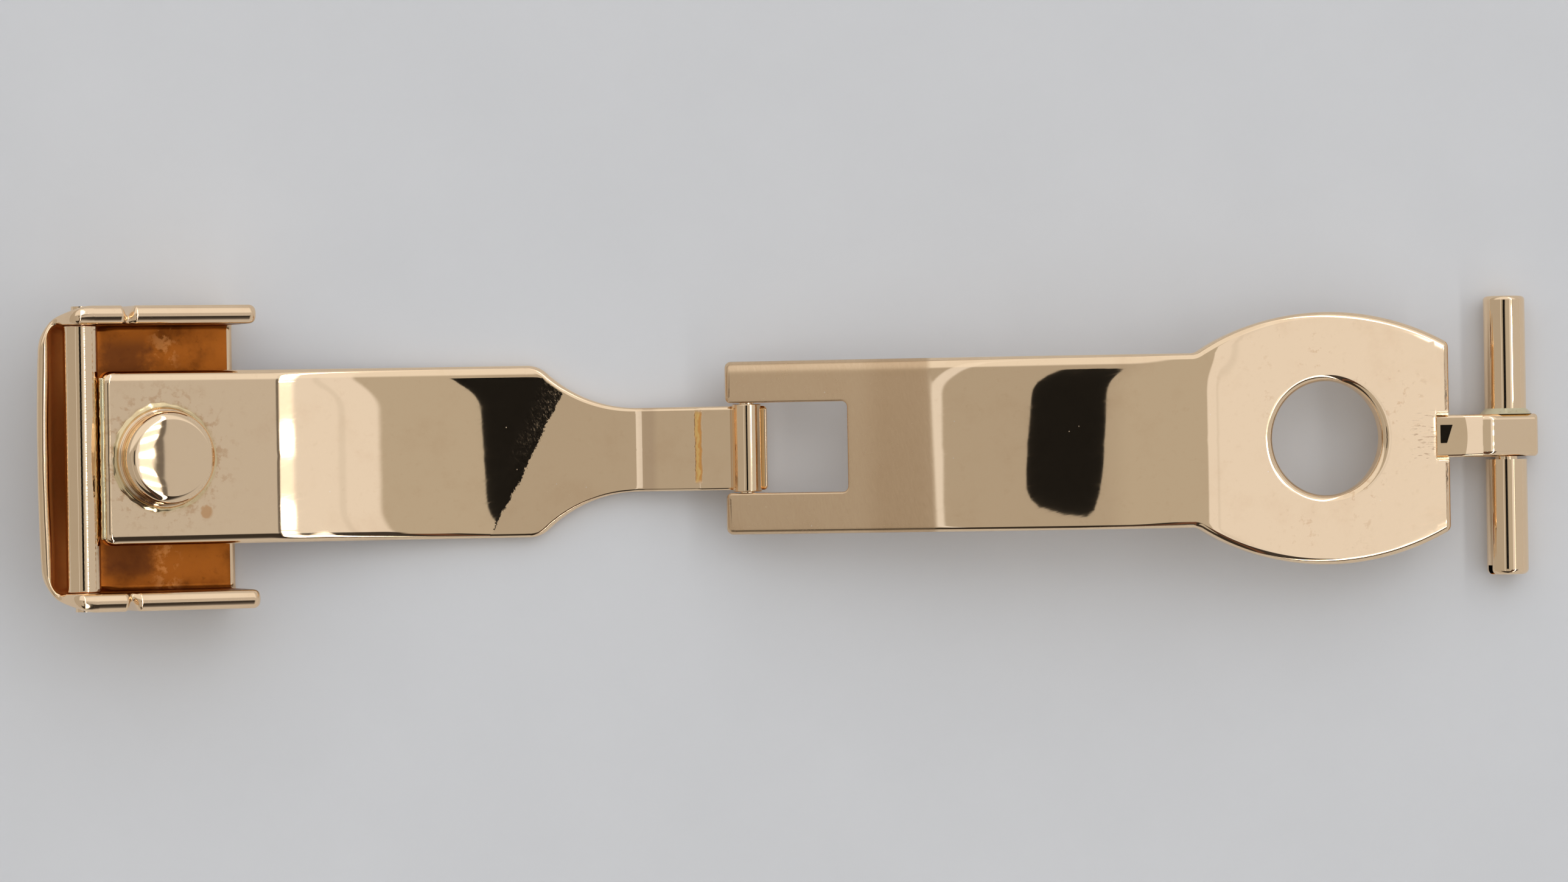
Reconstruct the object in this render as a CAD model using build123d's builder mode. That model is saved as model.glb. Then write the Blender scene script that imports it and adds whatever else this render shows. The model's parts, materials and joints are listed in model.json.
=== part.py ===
from build123d import *
import math
import os

# Deployant clasp of a leather watch strap, unfolded and lying on a table. Millimetres.
# X runs along the clasp from the strap cover to the strap bar, Y across it, Z up.
# The origin is on the table, under the middle of the clasp.

os.makedirs("parts", exist_ok=True)

# Line that both blades follow, measured outwards from the fold hinge
flat_run = 9.3
arc_radius = 39.0
arc_angle = 22.2
bend_radius = 3.0
bend_angle = 4.8
fold_gap = 0.1
front_lean = -3.0
rear_lean = -13.9

# Sheet of the blades
sheet = 1.1
blade_width = 9.15
corner_round = 0.5

# Fork of the rear blade and the fold hinge
fork_thickness = 1.5
fork_overhang = 1.04
fork_end_round = 0.5
thinning_start = 6.4
thinning_end = 8.1
slot_reach = 5.63
slot_corner = 0.3
knuckle_radius = 0.77
hinge_pin_radius = 0.4
hinge_pin_recess = 0.05
running_gap = 0.03
seat_gap = 0.01

# Neck of the front blade
neck_width = 4.45
neck_gap = 0.16
neck_lip = 1.2
neck_rise_end = 2.6
neck_rise_start = 5.2
neck_run = 5.85
neck_flare_radius = 7.0
shoulder_round = 1.5

# Stud on the plate at the end of the front blade
front_end = 34.65
stud_inset = 3.25
stud_radius = 2.35
stud_height = 1.3
stud_shoulder = 0.75
stud_crown = 0.18
stud_skirt_radius = 2.6
stud_skirt_height = 0.35
shank_radius = 1.0
post_length = 1.9
post_head_radius = 1.25
post_head_height = 0.7
post_head_round = 0.2
stud_solder_spread = 0.25

# Oval plate at the end of the rear blade
oval_width = 13.3
oval_radius = 14.0
oval_middle = 6.1
oval_reach = 6.75
waist_round = 0.8
hole_radius = 2.9
hole_edge_round = 0.3

# Cross tube at the end of the front blade and the pin that carries the cover
tube_solder_gap = 0.05
tube_drop = 0.95
tube_radius = 0.9
tube_end_gap = 0.025
tube_solder_height = 0.6
cover_pin_radius = 0.45
cover_pin_recess = 0.02

# Strap cover
cover_width = 16.0
cover_wall = 1.0
cover_floor = 0.85
channel_depth = 3.62
rail_height = 0.4
rail_reach = 8.96
rail_start = 0.5
rim_round = 0.3
floor_reach = 9.1
end_wall = 0.55
end_wall_place = 2.2
end_rim_drop = 0.45
end_rim_reach = 1.4
end_curl_radius = 3.0
channel_curl_radius = 2.2
cover_corner_radius = 2.3
channel_corner_radius = 0.3
groove_place = 2.08
groove_width = 0.65
groove_depth = 0.45

# Strap bar and the lug that carries it
bar_radius = 1.1
bar_span = 14.8
bar_reach = 3.5
bar_drop = 0.65
bar_end_round = 0.3
bar_gap = 0.15
bar_solder_spread = 0.3
screw_radius = 0.6
screw_reach = 1.1
screw_slot_width = 0.4
screw_slot_depth = 0.5
screw_slot_turn = 25.0
lug_width = 2.25
lug_tongue = 0.7
lug_sink = 0.35
lug_crest = 1.7
lug_crest_run = 0.5
lug_crest_reach = 0.9
lug_crest_round = 1.3
lug_slope = 24.0
lug_end_reach = 1.65
lug_end_drop = 0.5
lug_under = 0.9
lug_hollow_reach = 1.1
lug_round = 0.35
lug_solder_gap = 0.1

# Every cut runs past its piece by this much
overrun = 1.0

# Levels and turns worked out from the sizes above
front_top = -(fork_thickness / 2 + fold_gap)
rear_top = fork_thickness / 2
slot_width = neck_width + 2 * neck_gap
stud_place = front_end - stud_inset
tube_place = front_end + tube_radius + tube_solder_gap
oval_end = stud_place + oval_reach
total_turn = arc_angle + bend_angle
cover_tilt = math.radians(front_lean + total_turn)
lean_sin = math.sin(math.radians(front_lean))
lean_cos = math.cos(math.radians(front_lean))
lug_fall_share = math.tan(math.radians(lug_slope))


def blade_frame(hinge, lean, outward):
    """Side view plane of a blade: x outwards along its flat, y up out of its top face."""
    lean_angle = math.radians(lean)
    along = (outward * math.cos(lean_angle), 0, -outward * math.sin(lean_angle))
    return Plane(origin=hinge, x_dir=along, z_dir=(0, -outward, 0))


def plate_frame(side, level, curve, radius_change):
    """Plane on a plate's top face, x outwards along the plate, z out of the top face.

    Its origin is where the plate starts, after the long arc and the bend.
    """
    first = math.radians(arc_angle)
    whole = math.radians(total_turn)
    long_radius = arc_radius + radius_change
    short_radius = bend_radius + radius_change
    reach = flat_run + (long_radius - short_radius) * math.sin(first) + short_radius * math.sin(whole)
    rise = long_radius - (long_radius - short_radius) * math.cos(first) - short_radius * math.cos(whole)
    origin = side.from_local_coords((reach, level + curve * rise, 0))
    along = side.x_dir * math.cos(whole) + side.y_dir * (curve * math.sin(whole))
    normal = side.y_dir * math.cos(whole) - side.x_dir * (curve * math.sin(whole))
    return Plane(origin=origin, x_dir=along, z_dir=normal)


def plate_start(radius_change):
    """Length of a blade's line from the hinge to the start of its plate."""
    long_arc = (arc_radius + radius_change) * math.radians(arc_angle)
    short_arc = (bend_radius + radius_change) * math.radians(bend_angle)
    return flat_run + long_arc + short_arc


def blade_line(start, level, curve, radius_change, plate_run):
    """One face of a blade in its side view: flat, long arc, bend and plate."""
    flat = Line((start, level), (flat_run, level))
    arc = JernArc(flat @ 1, flat % 1, arc_radius + radius_change, curve * arc_angle)
    bend = JernArc(arc @ 1, arc % 1, bend_radius + radius_change, curve * bend_angle)
    plate = PolarLine(bend @ 1, plate_run, direction=bend % 1)
    return flat @ 0, plate @ 1


def near(plane, reach, reach_range):
    """Test for edges whose middle lies at one reach along a plane's x."""
    return lambda edge: abs(plane.to_local_coords(edge.center()).X - reach) < reach_range


def at_level(plane, level, level_range):
    """Test for edges whose middle lies at one level along a plane's y."""
    return lambda edge: abs(plane.to_local_coords(edge.center()).Y - level) < level_range


# Runs along the two plates
front_plate_run = front_end - plate_start(0)
rear_plate_run = oval_end - plate_start(-fold_gap)
stud_centre = stud_place - plate_start(0)
tube_run = tube_place - plate_start(0)

# The hinge stands so that the long curve touches the table and the middle is over the origin
hinge_height = arc_radius + sheet - flat_run * lean_sin - (front_top + arc_radius) * lean_cos
draft_front = plate_frame(blade_frame((0, 0, 0), front_lean, -1), front_top, 1, 0)
draft_rear = plate_frame(blade_frame((0, 0, 0), rear_lean, 1), rear_top, -1, -fold_gap)
left_end = draft_front.from_local_coords((tube_run, 0, -tube_drop)).X - end_wall_place
bar_local = (rear_plate_run + bar_reach, 0, -sheet / 2 - bar_drop)
right_end = draft_rear.from_local_coords(bar_local).X + lug_end_reach
hinge_place = (-(left_end + right_end) / 2, 0, hinge_height)

front_side = blade_frame(hinge_place, front_lean, -1)
rear_side = blade_frame(hinge_place, rear_lean, 1)
front_plan = Plane(origin=hinge_place, x_dir=front_side.x_dir, z_dir=front_side.y_dir)
rear_plan = Plane(origin=hinge_place, x_dir=rear_side.x_dir, z_dir=rear_side.y_dir)
front_plate = plate_frame(front_side, front_top, 1, 0)
rear_plate = plate_frame(rear_side, rear_top, -1, -fold_gap)
hinge_cross = Plane(origin=hinge_place, x_dir=(1, 0, 0), z_dir=(0, 1, 0))
tube_centre = front_plate.from_local_coords((tube_run, 0, -tube_drop))
tube_cross = Plane(origin=tube_centre, x_dir=(1, 0, 0), z_dir=(0, 1, 0))
bar_centre = rear_plate.from_local_coords(bar_local)
bar_cross = Plane(origin=bar_centre, x_dir=(1, 0, 0), z_dir=(0, 1, 0))
bar_side = Plane(origin=bar_centre, x_dir=(1, 0, 0), z_dir=(0, -1, 0))
tube_side = Plane(origin=tube_centre, x_dir=-front_plate.x_dir, z_dir=front_plate.y_dir)
tube_plan = Plane(origin=tube_centre, x_dir=tube_side.x_dir, z_dir=tube_side.y_dir)

# Front blade: raised neck, flared shoulders, long curve and stud plate
neck_slope = math.atan2(-front_top, neck_rise_start - neck_rise_end)
neck_shift = sheet * math.tan(neck_slope / 2)
flare_turn = math.acos(1 - (blade_width - neck_width) / 2 / neck_flare_radius)
flare_reach = neck_run + neck_flare_radius * math.sin(flare_turn)

with BuildPart() as front_blade:
    with BuildSketch(front_side):
        with BuildLine():
            top_start, top_end = blade_line(neck_rise_start, front_top, 1, 0, front_plate_run)
            low_start, low_end = blade_line(
                neck_rise_start - neck_shift, front_top - sheet, 1, sheet, front_plate_run
            )
            Line(top_end, low_end)
            Polyline(
                top_start,
                (neck_rise_end, 0),
                (-neck_lip, 0),
                (-neck_lip, -sheet),
                (neck_rise_end - neck_shift, -sheet),
                low_start,
            )
        make_face()
    extrude(amount=blade_width / 2, both=True)
    with BuildSketch(front_plan):
        with BuildLine():
            neck_edge = Line((-neck_lip - overrun, neck_width / 2), (neck_run, neck_width / 2))
            flare = JernArc(neck_edge @ 1, neck_edge % 1, neck_flare_radius, math.degrees(flare_turn))
            Polyline(
                flare @ 1,
                (flare_reach, blade_width / 2 + overrun),
                (-neck_lip - overrun, blade_width / 2 + overrun),
                neck_edge @ 0,
            )
        make_face()
        mirror(about=Plane.XZ)
    extrude(amount=front_plate_run, both=True, mode=Mode.SUBTRACT)
    upright = front_blade.edges().filter_by(Axis((0, 0, 0), tuple(front_plan.z_dir)))
    fillet(upright.filter_by(near(front_plan, flare_reach, corner_round)), shoulder_round)
    fillet(front_blade.edges().filter_by(Axis((0, 0, 0), tuple(front_plate.z_dir))), corner_round)
    with BuildSketch(hinge_cross):
        Circle(knuckle_radius + seat_gap)
    extrude(amount=neck_width, both=True, mode=Mode.SUBTRACT)
    with BuildSketch(front_plate):
        with Locations((stud_centre, 0)):
            Circle(shank_radius + seat_gap)
    extrude(amount=-sheet - overrun, mode=Mode.SUBTRACT)

front_blade.part.label = "front_blade"
export_step(front_blade.part, "parts/front_blade.step")

# Knuckle tube soldered along the end of the neck
with BuildPart() as hinge_tube:
    with BuildSketch(hinge_cross):
        Circle(knuckle_radius)
        Circle(hinge_pin_radius + running_gap, mode=Mode.SUBTRACT)
    extrude(amount=neck_width / 2, both=True)

hinge_tube.part.label = "hinge_tube"
export_step(hinge_tube.part, "parts/hinge_tube.step")

# Pin of the fold hinge, pressed into the fork's ears
with BuildPart() as hinge_pin:
    with BuildSketch(hinge_cross):
        Circle(hinge_pin_radius)
    extrude(amount=blade_width / 2 - hinge_pin_recess, both=True)

hinge_pin.part.label = "hinge_pin"
export_step(hinge_pin.part, "parts/hinge_pin.step")

# Catch stud: domed head on the plate, shank through it and post below it for the strap's hole
stud_seat = front_plate.from_local_coords((stud_centre, 0, 0))
stud_side = Plane(origin=stud_seat, x_dir=front_plate.x_dir, z_dir=-front_plate.y_dir)
stud_axis = Axis(tuple(stud_seat), tuple(front_plate.z_dir))
post_end = -sheet - post_length
post_neck = post_end + post_head_height
crown_low = stud_height - stud_crown
crown_radius = (stud_radius - stud_shoulder) ** 2 / (2 * stud_crown) + stud_crown / 2

with BuildPart() as catch_stud:
    with BuildSketch(stud_side):
        with BuildLine():
            crown = RadiusArc(
                (0, stud_height), (stud_radius - stud_shoulder, crown_low), crown_radius
            )
            shoulder = TangentArc(
                crown @ 1, (stud_radius, crown_low - stud_shoulder), tangent=crown % 1
            )
            Polyline(
                shoulder @ 1,
                (stud_radius, stud_skirt_height),
                (stud_skirt_radius, stud_skirt_height),
                (stud_skirt_radius, 0),
                (shank_radius, 0),
                (shank_radius, post_neck),
                (post_head_radius, post_neck),
                (post_head_radius, post_end),
                (0, post_end),
                crown @ 0,
            )
        make_face()
    revolve(axis=stud_axis)
    foot = catch_stud.edges().filter_by(GeomType.CIRCLE).sort_by(stud_axis)[:2]
    fillet(foot, post_head_round)

catch_stud.part.label = "catch_stud"
export_step(catch_stud.part, "parts/catch_stud.step")

# Ring of solder round the stud's skirt
with BuildPart() as stud_solder:
    with BuildSketch(stud_side):
        with BuildLine():
            Polyline(
                (stud_skirt_radius, 0),
                (stud_skirt_radius + stud_solder_spread, 0),
                (stud_skirt_radius, stud_solder_spread),
                close=True,
            )
        make_face()
    revolve(axis=stud_axis)

stud_solder.part.label = "stud_solder"
export_step(stud_solder.part, "parts/stud_solder.step")

# Cross tube along the end of the stud plate, where the cover swings
with BuildPart() as cross_tube:
    with BuildSketch(tube_cross):
        Circle(tube_radius)
        Circle(cover_pin_radius + running_gap, mode=Mode.SUBTRACT)
    extrude(amount=cover_width / 2 - cover_wall - tube_end_gap, both=True)

cross_tube.part.label = "cross_tube"
export_step(cross_tube.part, "parts/cross_tube.step")

# Solder between the plate's end and the cross tube
with BuildPart() as tube_solder:
    with BuildSketch(tube_side):
        with Locations((0, tube_drop - sheet)):
            Rectangle(
                tube_radius + tube_solder_gap, tube_solder_height, align=(Align.MIN, Align.MIN)
            )
        Circle(tube_radius, mode=Mode.SUBTRACT)
    extrude(amount=blade_width / 2 - corner_round, both=True)

tube_solder.part.label = "tube_solder"
export_step(tube_solder.part, "parts/tube_solder.step")

# Strap cover: a tray with two rails, open to the right, its end wall upright on the table
wall_lean_sin = math.sin(cover_tilt)
wall_lean_cos = math.cos(cover_tilt)
rail_level = tube_drop + rail_height
channel_level = tube_drop - channel_depth
floor_level = channel_level - cover_floor
rim_level = -end_rim_drop
curl_turn = 90 - math.degrees(cover_tilt)


def curl_start(level, radius, place):
    """Where the floor starts to curl so that the curl ends upright at one place."""
    curl_sin = math.sin(math.radians(curl_turn))
    curl_end_level = level + radius * (1 - math.cos(math.radians(curl_turn)))
    return (-place - curl_end_level * wall_lean_sin) / wall_lean_cos + radius * curl_sin


def upright_reach(level, place):
    """Reach along the cover of an upright wall's point at one level."""
    return (-place - level * wall_lean_sin) / wall_lean_cos


def tray_line(level, radius, place, reach, top):
    """Floor, curl and end wall of the tray in its side view, from right to left."""
    floor = Line((reach, level), (curl_start(level, radius, place), level))
    curl = JernArc(floor @ 1, floor % 1, radius, -curl_turn)
    wall = Line(curl @ 1, (upright_reach(top, place), top))
    return floor @ 0, wall @ 1


# The channel that the tray holds
channel_front = floor_reach + overrun
channel_top = rail_level + overrun

with BuildPart() as cover_channel:
    with BuildSketch(tube_side):
        with BuildLine():
            tray_start, tray_end = tray_line(
                channel_level,
                channel_curl_radius,
                end_wall_place - end_wall,
                channel_front,
                channel_top,
            )
            Polyline(tray_end, (channel_front, channel_top), tray_start)
        make_face()
    extrude(amount=cover_width / 2 - cover_wall, both=True)
    fillet(cover_channel.edges().filter_by(Axis.Z).sort_by(Axis.X)[:2], channel_corner_radius)

with BuildPart() as cover_shell:
    with BuildSketch(tube_side):
        with BuildLine():
            tray_start, tray_end = tray_line(
                floor_level, end_curl_radius, end_wall_place, floor_reach, rim_level
            )
            Polyline(
                tray_end,
                (-end_rim_reach, rim_level),
                (-rail_start, rail_level),
                (rail_reach, rail_level),
                tray_start,
            )
        make_face()
    extrude(amount=cover_width / 2, both=True)
    fillet(cover_shell.edges().filter_by(Axis.Z).sort_by(Axis.X)[:2], cover_corner_radius)
    add(cover_channel.part, mode=Mode.SUBTRACT)
    rails = cover_shell.edges().filter_by(Axis((0, 0, 0), tuple(tube_side.x_dir)))
    fillet(rails.filter_by(at_level(tube_side, rail_level, rim_round)), rim_round)
    with BuildSketch(tube_plan):
        with BuildLine():
            Polyline(
                (groove_place - groove_width / 2, cover_width / 2),
                (groove_place, cover_width / 2 - groove_depth),
                (groove_place + groove_width / 2, cover_width / 2),
                (groove_place + groove_width / 2, cover_width / 2 + overrun),
                (groove_place - groove_width / 2, cover_width / 2 + overrun),
                close=True,
            )
        make_face()
        mirror(about=Plane.XZ)
    extrude(amount=-channel_level, both=True, mode=Mode.SUBTRACT)
    with BuildSketch(tube_cross):
        Circle(cover_pin_radius + seat_gap)
    extrude(amount=cover_width, both=True, mode=Mode.SUBTRACT)

cover_shell.part.label = "cover_shell"
export_step(cover_shell.part, "parts/cover_shell.step")

# Pin of the cover, through its walls and the cross tube
with BuildPart() as cover_pin:
    with BuildSketch(tube_cross):
        Circle(cover_pin_radius)
    extrude(amount=cover_width / 2 - cover_pin_recess, both=True)

cover_pin.part.label = "cover_pin"
export_step(cover_pin.part, "parts/cover_pin.step")

# Rear blade: fork, long curve and oval plate with the stud's hole and a notch for the lug
oval_rise = (oval_width - blade_width) / 2
waist_reach = oval_middle - math.sqrt(oval_radius**2 - (oval_radius - oval_rise) ** 2)
oval_end_rise = oval_radius - math.sqrt(oval_radius**2 - (rear_plate_run - oval_middle) ** 2)
oval_end_width = oval_width - 2 * oval_end_rise
fork_end = -plate_start(-fold_gap) - fork_overhang - overrun
notch_width = lug_width + 2 * lug_solder_gap
notch_reach = lug_tongue + lug_solder_gap

with BuildPart() as rear_blade:
    with BuildSketch(rear_side):
        with BuildLine():
            top_start, top_end = blade_line(-fork_overhang, rear_top, -1, -fold_gap, rear_plate_run)
            low_start, low_end = blade_line(
                thinning_end, rear_top - sheet, -1, -fold_gap - sheet, rear_plate_run
            )
            Line(top_end, low_end)
            Polyline(
                top_start,
                (-fork_overhang, rear_top - fork_thickness),
                (thinning_start, rear_top - fork_thickness),
                low_start,
            )
        make_face()
    extrude(amount=oval_width, both=True)
    with BuildSketch(rear_plate):
        with BuildLine():
            oval_side = ThreePointArc(
                (waist_reach, blade_width / 2),
                (oval_middle, oval_width / 2),
                (rear_plate_run, oval_end_width / 2),
            )
            Polyline(
                oval_side @ 1,
                (rear_plate_run + overrun, oval_end_width / 2),
                (rear_plate_run + overrun, 0),
                (fork_end, 0),
                (fork_end, blade_width / 2),
                oval_side @ 0,
            )
        make_face()
        mirror(about=Plane.XZ)
    extrude(amount=arc_radius, both=True, mode=Mode.INTERSECT)
    waist = rear_blade.edges().filter_by(Axis((0, 0, 0), tuple(rear_plate.z_dir)))
    fillet(waist.filter_by(near(rear_plate, waist_reach, waist_round)), waist_round)
    with BuildSketch(rear_plan) as slot:
        with Locations((slot_reach, 0)):
            Rectangle(2 * slot_reach, slot_width, align=(Align.MAX, Align.CENTER))
        fillet(slot.vertices().sort_by(Axis((0, 0, 0), tuple(rear_plan.x_dir)))[-2:], slot_corner)
    extrude(amount=fork_thickness, both=True, mode=Mode.SUBTRACT)
    ear_ends = rear_blade.edges().filter_by(Axis.Y)
    fillet(ear_ends.filter_by(near(rear_plan, -fork_overhang, fork_end_round)), fork_end_round)
    with BuildSketch(hinge_cross):
        Circle(hinge_pin_radius + seat_gap)
    extrude(amount=blade_width, both=True, mode=Mode.SUBTRACT)
    with BuildSketch(rear_plate):
        with Locations((stud_centre, 0)):
            Circle(hole_radius)
        with Locations((rear_plate_run - notch_reach, 0)):
            Rectangle(notch_reach + overrun, notch_width, align=(Align.MIN, Align.CENTER))
    extrude(amount=sheet + overrun, both=True, mode=Mode.SUBTRACT)
    rims = rear_blade.edges().filter_by(GeomType.CIRCLE)
    fillet(rims.filter_by(lambda edge: abs(edge.radius - hole_radius) < seat_gap), hole_edge_round)

rear_blade.part.label = "rear_blade"
export_step(rear_blade.part, "parts/rear_blade.step")

# Lug brazed into the plate's notch: its tongue runs level, then slopes down over the strap bar
plate_end_places = (
    (rear_plate_run - lug_tongue, -lug_sink),
    (rear_plate_run - lug_tongue, -sheet),
    (rear_plate_run + lug_hollow_reach, -sheet),
)
tongue_top, tongue_low, hollow_start = (
    bar_side.to_local_coords(rear_plate.from_local_coords((reach, 0, level)))
    for reach, level in plate_end_places
)
crest_end = (-lug_crest_reach, lug_crest)
slope_fall = (lug_end_reach + lug_crest_reach) * lug_fall_share

with BuildPart() as bar_lug:
    with BuildSketch(bar_side) as lug_outline:
        with BuildLine():
            Polyline(
                (tongue_top.X, tongue_top.Y),
                (-lug_crest_reach - lug_crest_run, lug_crest),
                (-lug_crest_reach, lug_crest),
                (lug_end_reach, lug_crest - slope_fall),
                (lug_end_reach, -lug_end_drop),
                (lug_end_reach - lug_round, -lug_under),
                (-lug_under, -lug_under),
                (hollow_start.X, hollow_start.Y),
                (tongue_low.X, tongue_low.Y),
                close=True,
            )
        make_face()
    extrude(amount=lug_width / 2, both=True)
    crest_lines = bar_lug.edges().filter_by(Axis.Y)
    fillet(crest_lines.filter_by(near(bar_side, -lug_crest_reach, lug_round)), lug_crest_round)
    with BuildSketch(bar_cross):
        Circle(screw_radius + seat_gap)
    extrude(amount=lug_width, both=True, mode=Mode.SUBTRACT)

bar_lug.part.label = "bar_lug"
export_step(bar_lug.part, "parts/bar_lug.step")

# Solder round the lug's tongue in the notch
with BuildPart() as lug_solder:
    with BuildSketch(rear_plate.offset(-sheet)):
        with Locations((rear_plate_run - notch_reach, 0)):
            Rectangle(notch_reach, notch_width, align=(Align.MIN, Align.CENTER))
        with Locations((rear_plate_run - lug_tongue, 0)):
            Rectangle(
                lug_tongue + overrun, lug_width, align=(Align.MIN, Align.CENTER), mode=Mode.SUBTRACT
            )
    extrude(amount=sheet - lug_sink)

lug_solder.part.label = "lug_solder"
export_step(lug_solder.part, "parts/lug_solder.step")

# Fixed half of the strap bar, bevelled and soldered to the lug, its spigot in the lug's bore
bar_end = bar_span / 2
lug_face = lug_width / 2
with BuildPart() as strap_bar_fixed:
    with BuildSketch(bar_cross.offset(lug_face)):
        Circle(bar_radius)
    extrude(amount=bar_end - lug_face)
    fillet(strap_bar_fixed.edges().sort_by(Axis.Y)[-1], bar_end_round)
    chamfer(strap_bar_fixed.edges().sort_by(Axis.Y)[0], bar_solder_spread)
    with BuildSketch(bar_cross.offset(lug_face)):
        Circle(screw_radius)
    extrude(amount=-screw_reach)

strap_bar_fixed.part.label = "strap_bar_fixed"
export_step(strap_bar_fixed.part, "parts/strap_bar_fixed.step")

# Solder fillet between the fixed half and the lug, only where the lug backs it
with BuildPart() as bar_solder:
    with BuildSketch(Plane(origin=bar_centre, x_dir=(1, 0, 0), z_dir=(0, 0, 1))):
        with BuildLine():
            Polyline(
                (bar_radius - bar_solder_spread, lug_face),
                (bar_radius + bar_solder_spread, lug_face),
                (bar_radius, lug_face + bar_solder_spread),
                close=True,
            )
        make_face()
    revolve(axis=Axis(tuple(bar_centre), (0, 1, 0)))
    with BuildSketch(bar_side):
        add(lug_outline.sketch_local)
    extrude(amount=-bar_span, mode=Mode.INTERSECT)

bar_solder.part.label = "bar_solder"
export_step(bar_solder.part, "parts/bar_solder.step")

# Screwed half of the strap bar: threaded shank in the lug, slot in its outer end
slot_angle = math.radians(screw_slot_turn)
slot_along = (math.cos(slot_angle), 0, -math.sin(slot_angle))
with BuildPart() as strap_bar_screw:
    with BuildSketch(bar_cross.offset(-lug_face - bar_gap)):
        Circle(bar_radius)
    extrude(amount=-(bar_end - lug_face - bar_gap))
    fillet(strap_bar_screw.edges().sort_by(Axis.Y)[0], bar_end_round)
    with BuildSketch(bar_cross.offset(-lug_face - bar_gap)):
        Circle(screw_radius)
    extrude(amount=bar_gap + screw_reach)
    with BuildSketch(Plane(origin=bar_centre, x_dir=slot_along, z_dir=(0, 1, 0)).offset(-bar_end)):
        Rectangle(2 * bar_radius + 2 * overrun, screw_slot_width)
    extrude(amount=screw_slot_depth, mode=Mode.SUBTRACT)

strap_bar_screw.part.label = "strap_bar_screw"
export_step(strap_bar_screw.part, "parts/strap_bar_screw.step")

print("hinge", [round(value, 4) for value in tuple(hinge_place)])
print("cross tube", [round(value, 4) for value in tuple(tube_centre)])
print("strap bar", [round(value, 4) for value in tuple(bar_centre)])
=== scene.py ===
"""Looks of a deployant clasp of rose gold, unfolded on a table.

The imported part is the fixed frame. Each sub-assembly is a class that holds its sizes in
millimetres, builds its meshes with numpy and dresses them. X runs along the clasp from the
strap cover to the strap bar, Y across it and Z up. Meshes are written in metres.
"""

import json
import logging
import math
from dataclasses import dataclass
from enum import Enum
from typing import Any, Callable, Optional, Sequence

import bmesh
import bpy
import numpy as np
from mathutils import Matrix, Vector


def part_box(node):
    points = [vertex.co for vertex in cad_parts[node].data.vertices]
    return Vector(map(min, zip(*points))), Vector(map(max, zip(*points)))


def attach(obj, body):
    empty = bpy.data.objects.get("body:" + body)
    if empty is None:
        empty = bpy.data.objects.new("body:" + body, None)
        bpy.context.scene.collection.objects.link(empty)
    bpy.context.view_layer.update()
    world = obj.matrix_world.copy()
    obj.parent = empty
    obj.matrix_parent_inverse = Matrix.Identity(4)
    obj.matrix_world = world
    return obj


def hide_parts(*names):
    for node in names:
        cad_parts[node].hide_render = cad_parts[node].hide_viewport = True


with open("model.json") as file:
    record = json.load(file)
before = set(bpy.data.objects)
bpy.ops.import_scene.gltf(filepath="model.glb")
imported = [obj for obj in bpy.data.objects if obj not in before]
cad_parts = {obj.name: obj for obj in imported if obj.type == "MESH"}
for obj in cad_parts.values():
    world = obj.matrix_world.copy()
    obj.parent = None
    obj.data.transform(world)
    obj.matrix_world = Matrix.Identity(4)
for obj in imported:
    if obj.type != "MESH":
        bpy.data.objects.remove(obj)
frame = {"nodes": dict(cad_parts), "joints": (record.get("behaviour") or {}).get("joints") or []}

Array = np.ndarray
Material = bpy.types.Material
Piece = bpy.types.Object
Pair = tuple[float, float]
log = logging.getLogger("clasp")

# A millimetre in metres, the weld's grid in millimetres and its shift off round numbers.
MM = 0.001
WELD = 1e-5
WELD_SHIFT = 0.137
# Angles of a quarter circle for small roundings, and the direction across the clasp.
QUARTER = np.linspace(0.0, math.pi / 2, 7)
ACROSS = np.array([0.0, 1.0, 0.0])


class Side(Enum):
    """Which way a blade runs from the hinge."""

    LEFT = -1
    RIGHT = 1


def joint_place(name: str) -> Array:
    """Place of a joint's axis in millimetres."""
    found = next(joint for joint in frame["joints"] if joint["name"] == name)
    return np.array(found["pos_m"], float) / MM


def place_of(name: str) -> Array:
    """Centre of a CAD node's box in millimetres."""
    low, high = (np.array(corner, float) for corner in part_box(name))
    return (low + high) / 2 / MM


def unit(vectors: Array) -> Array:
    """Vectors divided by their lengths."""
    return vectors / np.maximum(np.linalg.norm(vectors, axis=-1, keepdims=True), 1e-12)


def ruled(first: Array, second: Array, count: int) -> Array:
    """Patch between two curves of as many points: (1 - v) times the first plus v times the second.

    Args:
        first: points at v 0, shape (n, k).
        second: points at v 1, shape (n, k).
        count: spans from the first curve to the second.

    Returns:
        Grid of points, shape (n, count + 1, k).
    """
    share = np.linspace(0.0, 1.0, count + 1)[None, :, None]
    return first[:, None, :] * (1 - share) + second[:, None, :] * share


def on_middle(points: Array) -> Array:
    """Points of run and width moved straight onto the middle line."""
    return points * np.array([1.0, 0.0])


def spokes(turn: Array, first: Array, second: Array) -> Array:
    """Unit vectors round an axis, from two vectors that are square to it and to each other."""
    return np.cos(turn)[:, None] * first + np.sin(turn)[:, None] * second


def smooth_step(values: Array, low: float, high: float) -> Array:
    """Zero below low, one above high and 3t^2 - 2t^3 between them."""
    t = np.clip((values - low) / (high - low), 0.0, 1.0)
    return t * t * (3 - 2 * t)


@dataclass
class Leg:
    """One stretch of a route: a straight run, or an arc where bend isn't zero."""

    start: Array
    heading: float
    length: float
    bend: float
    spans: int
    edge: tuple[float, float]


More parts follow.
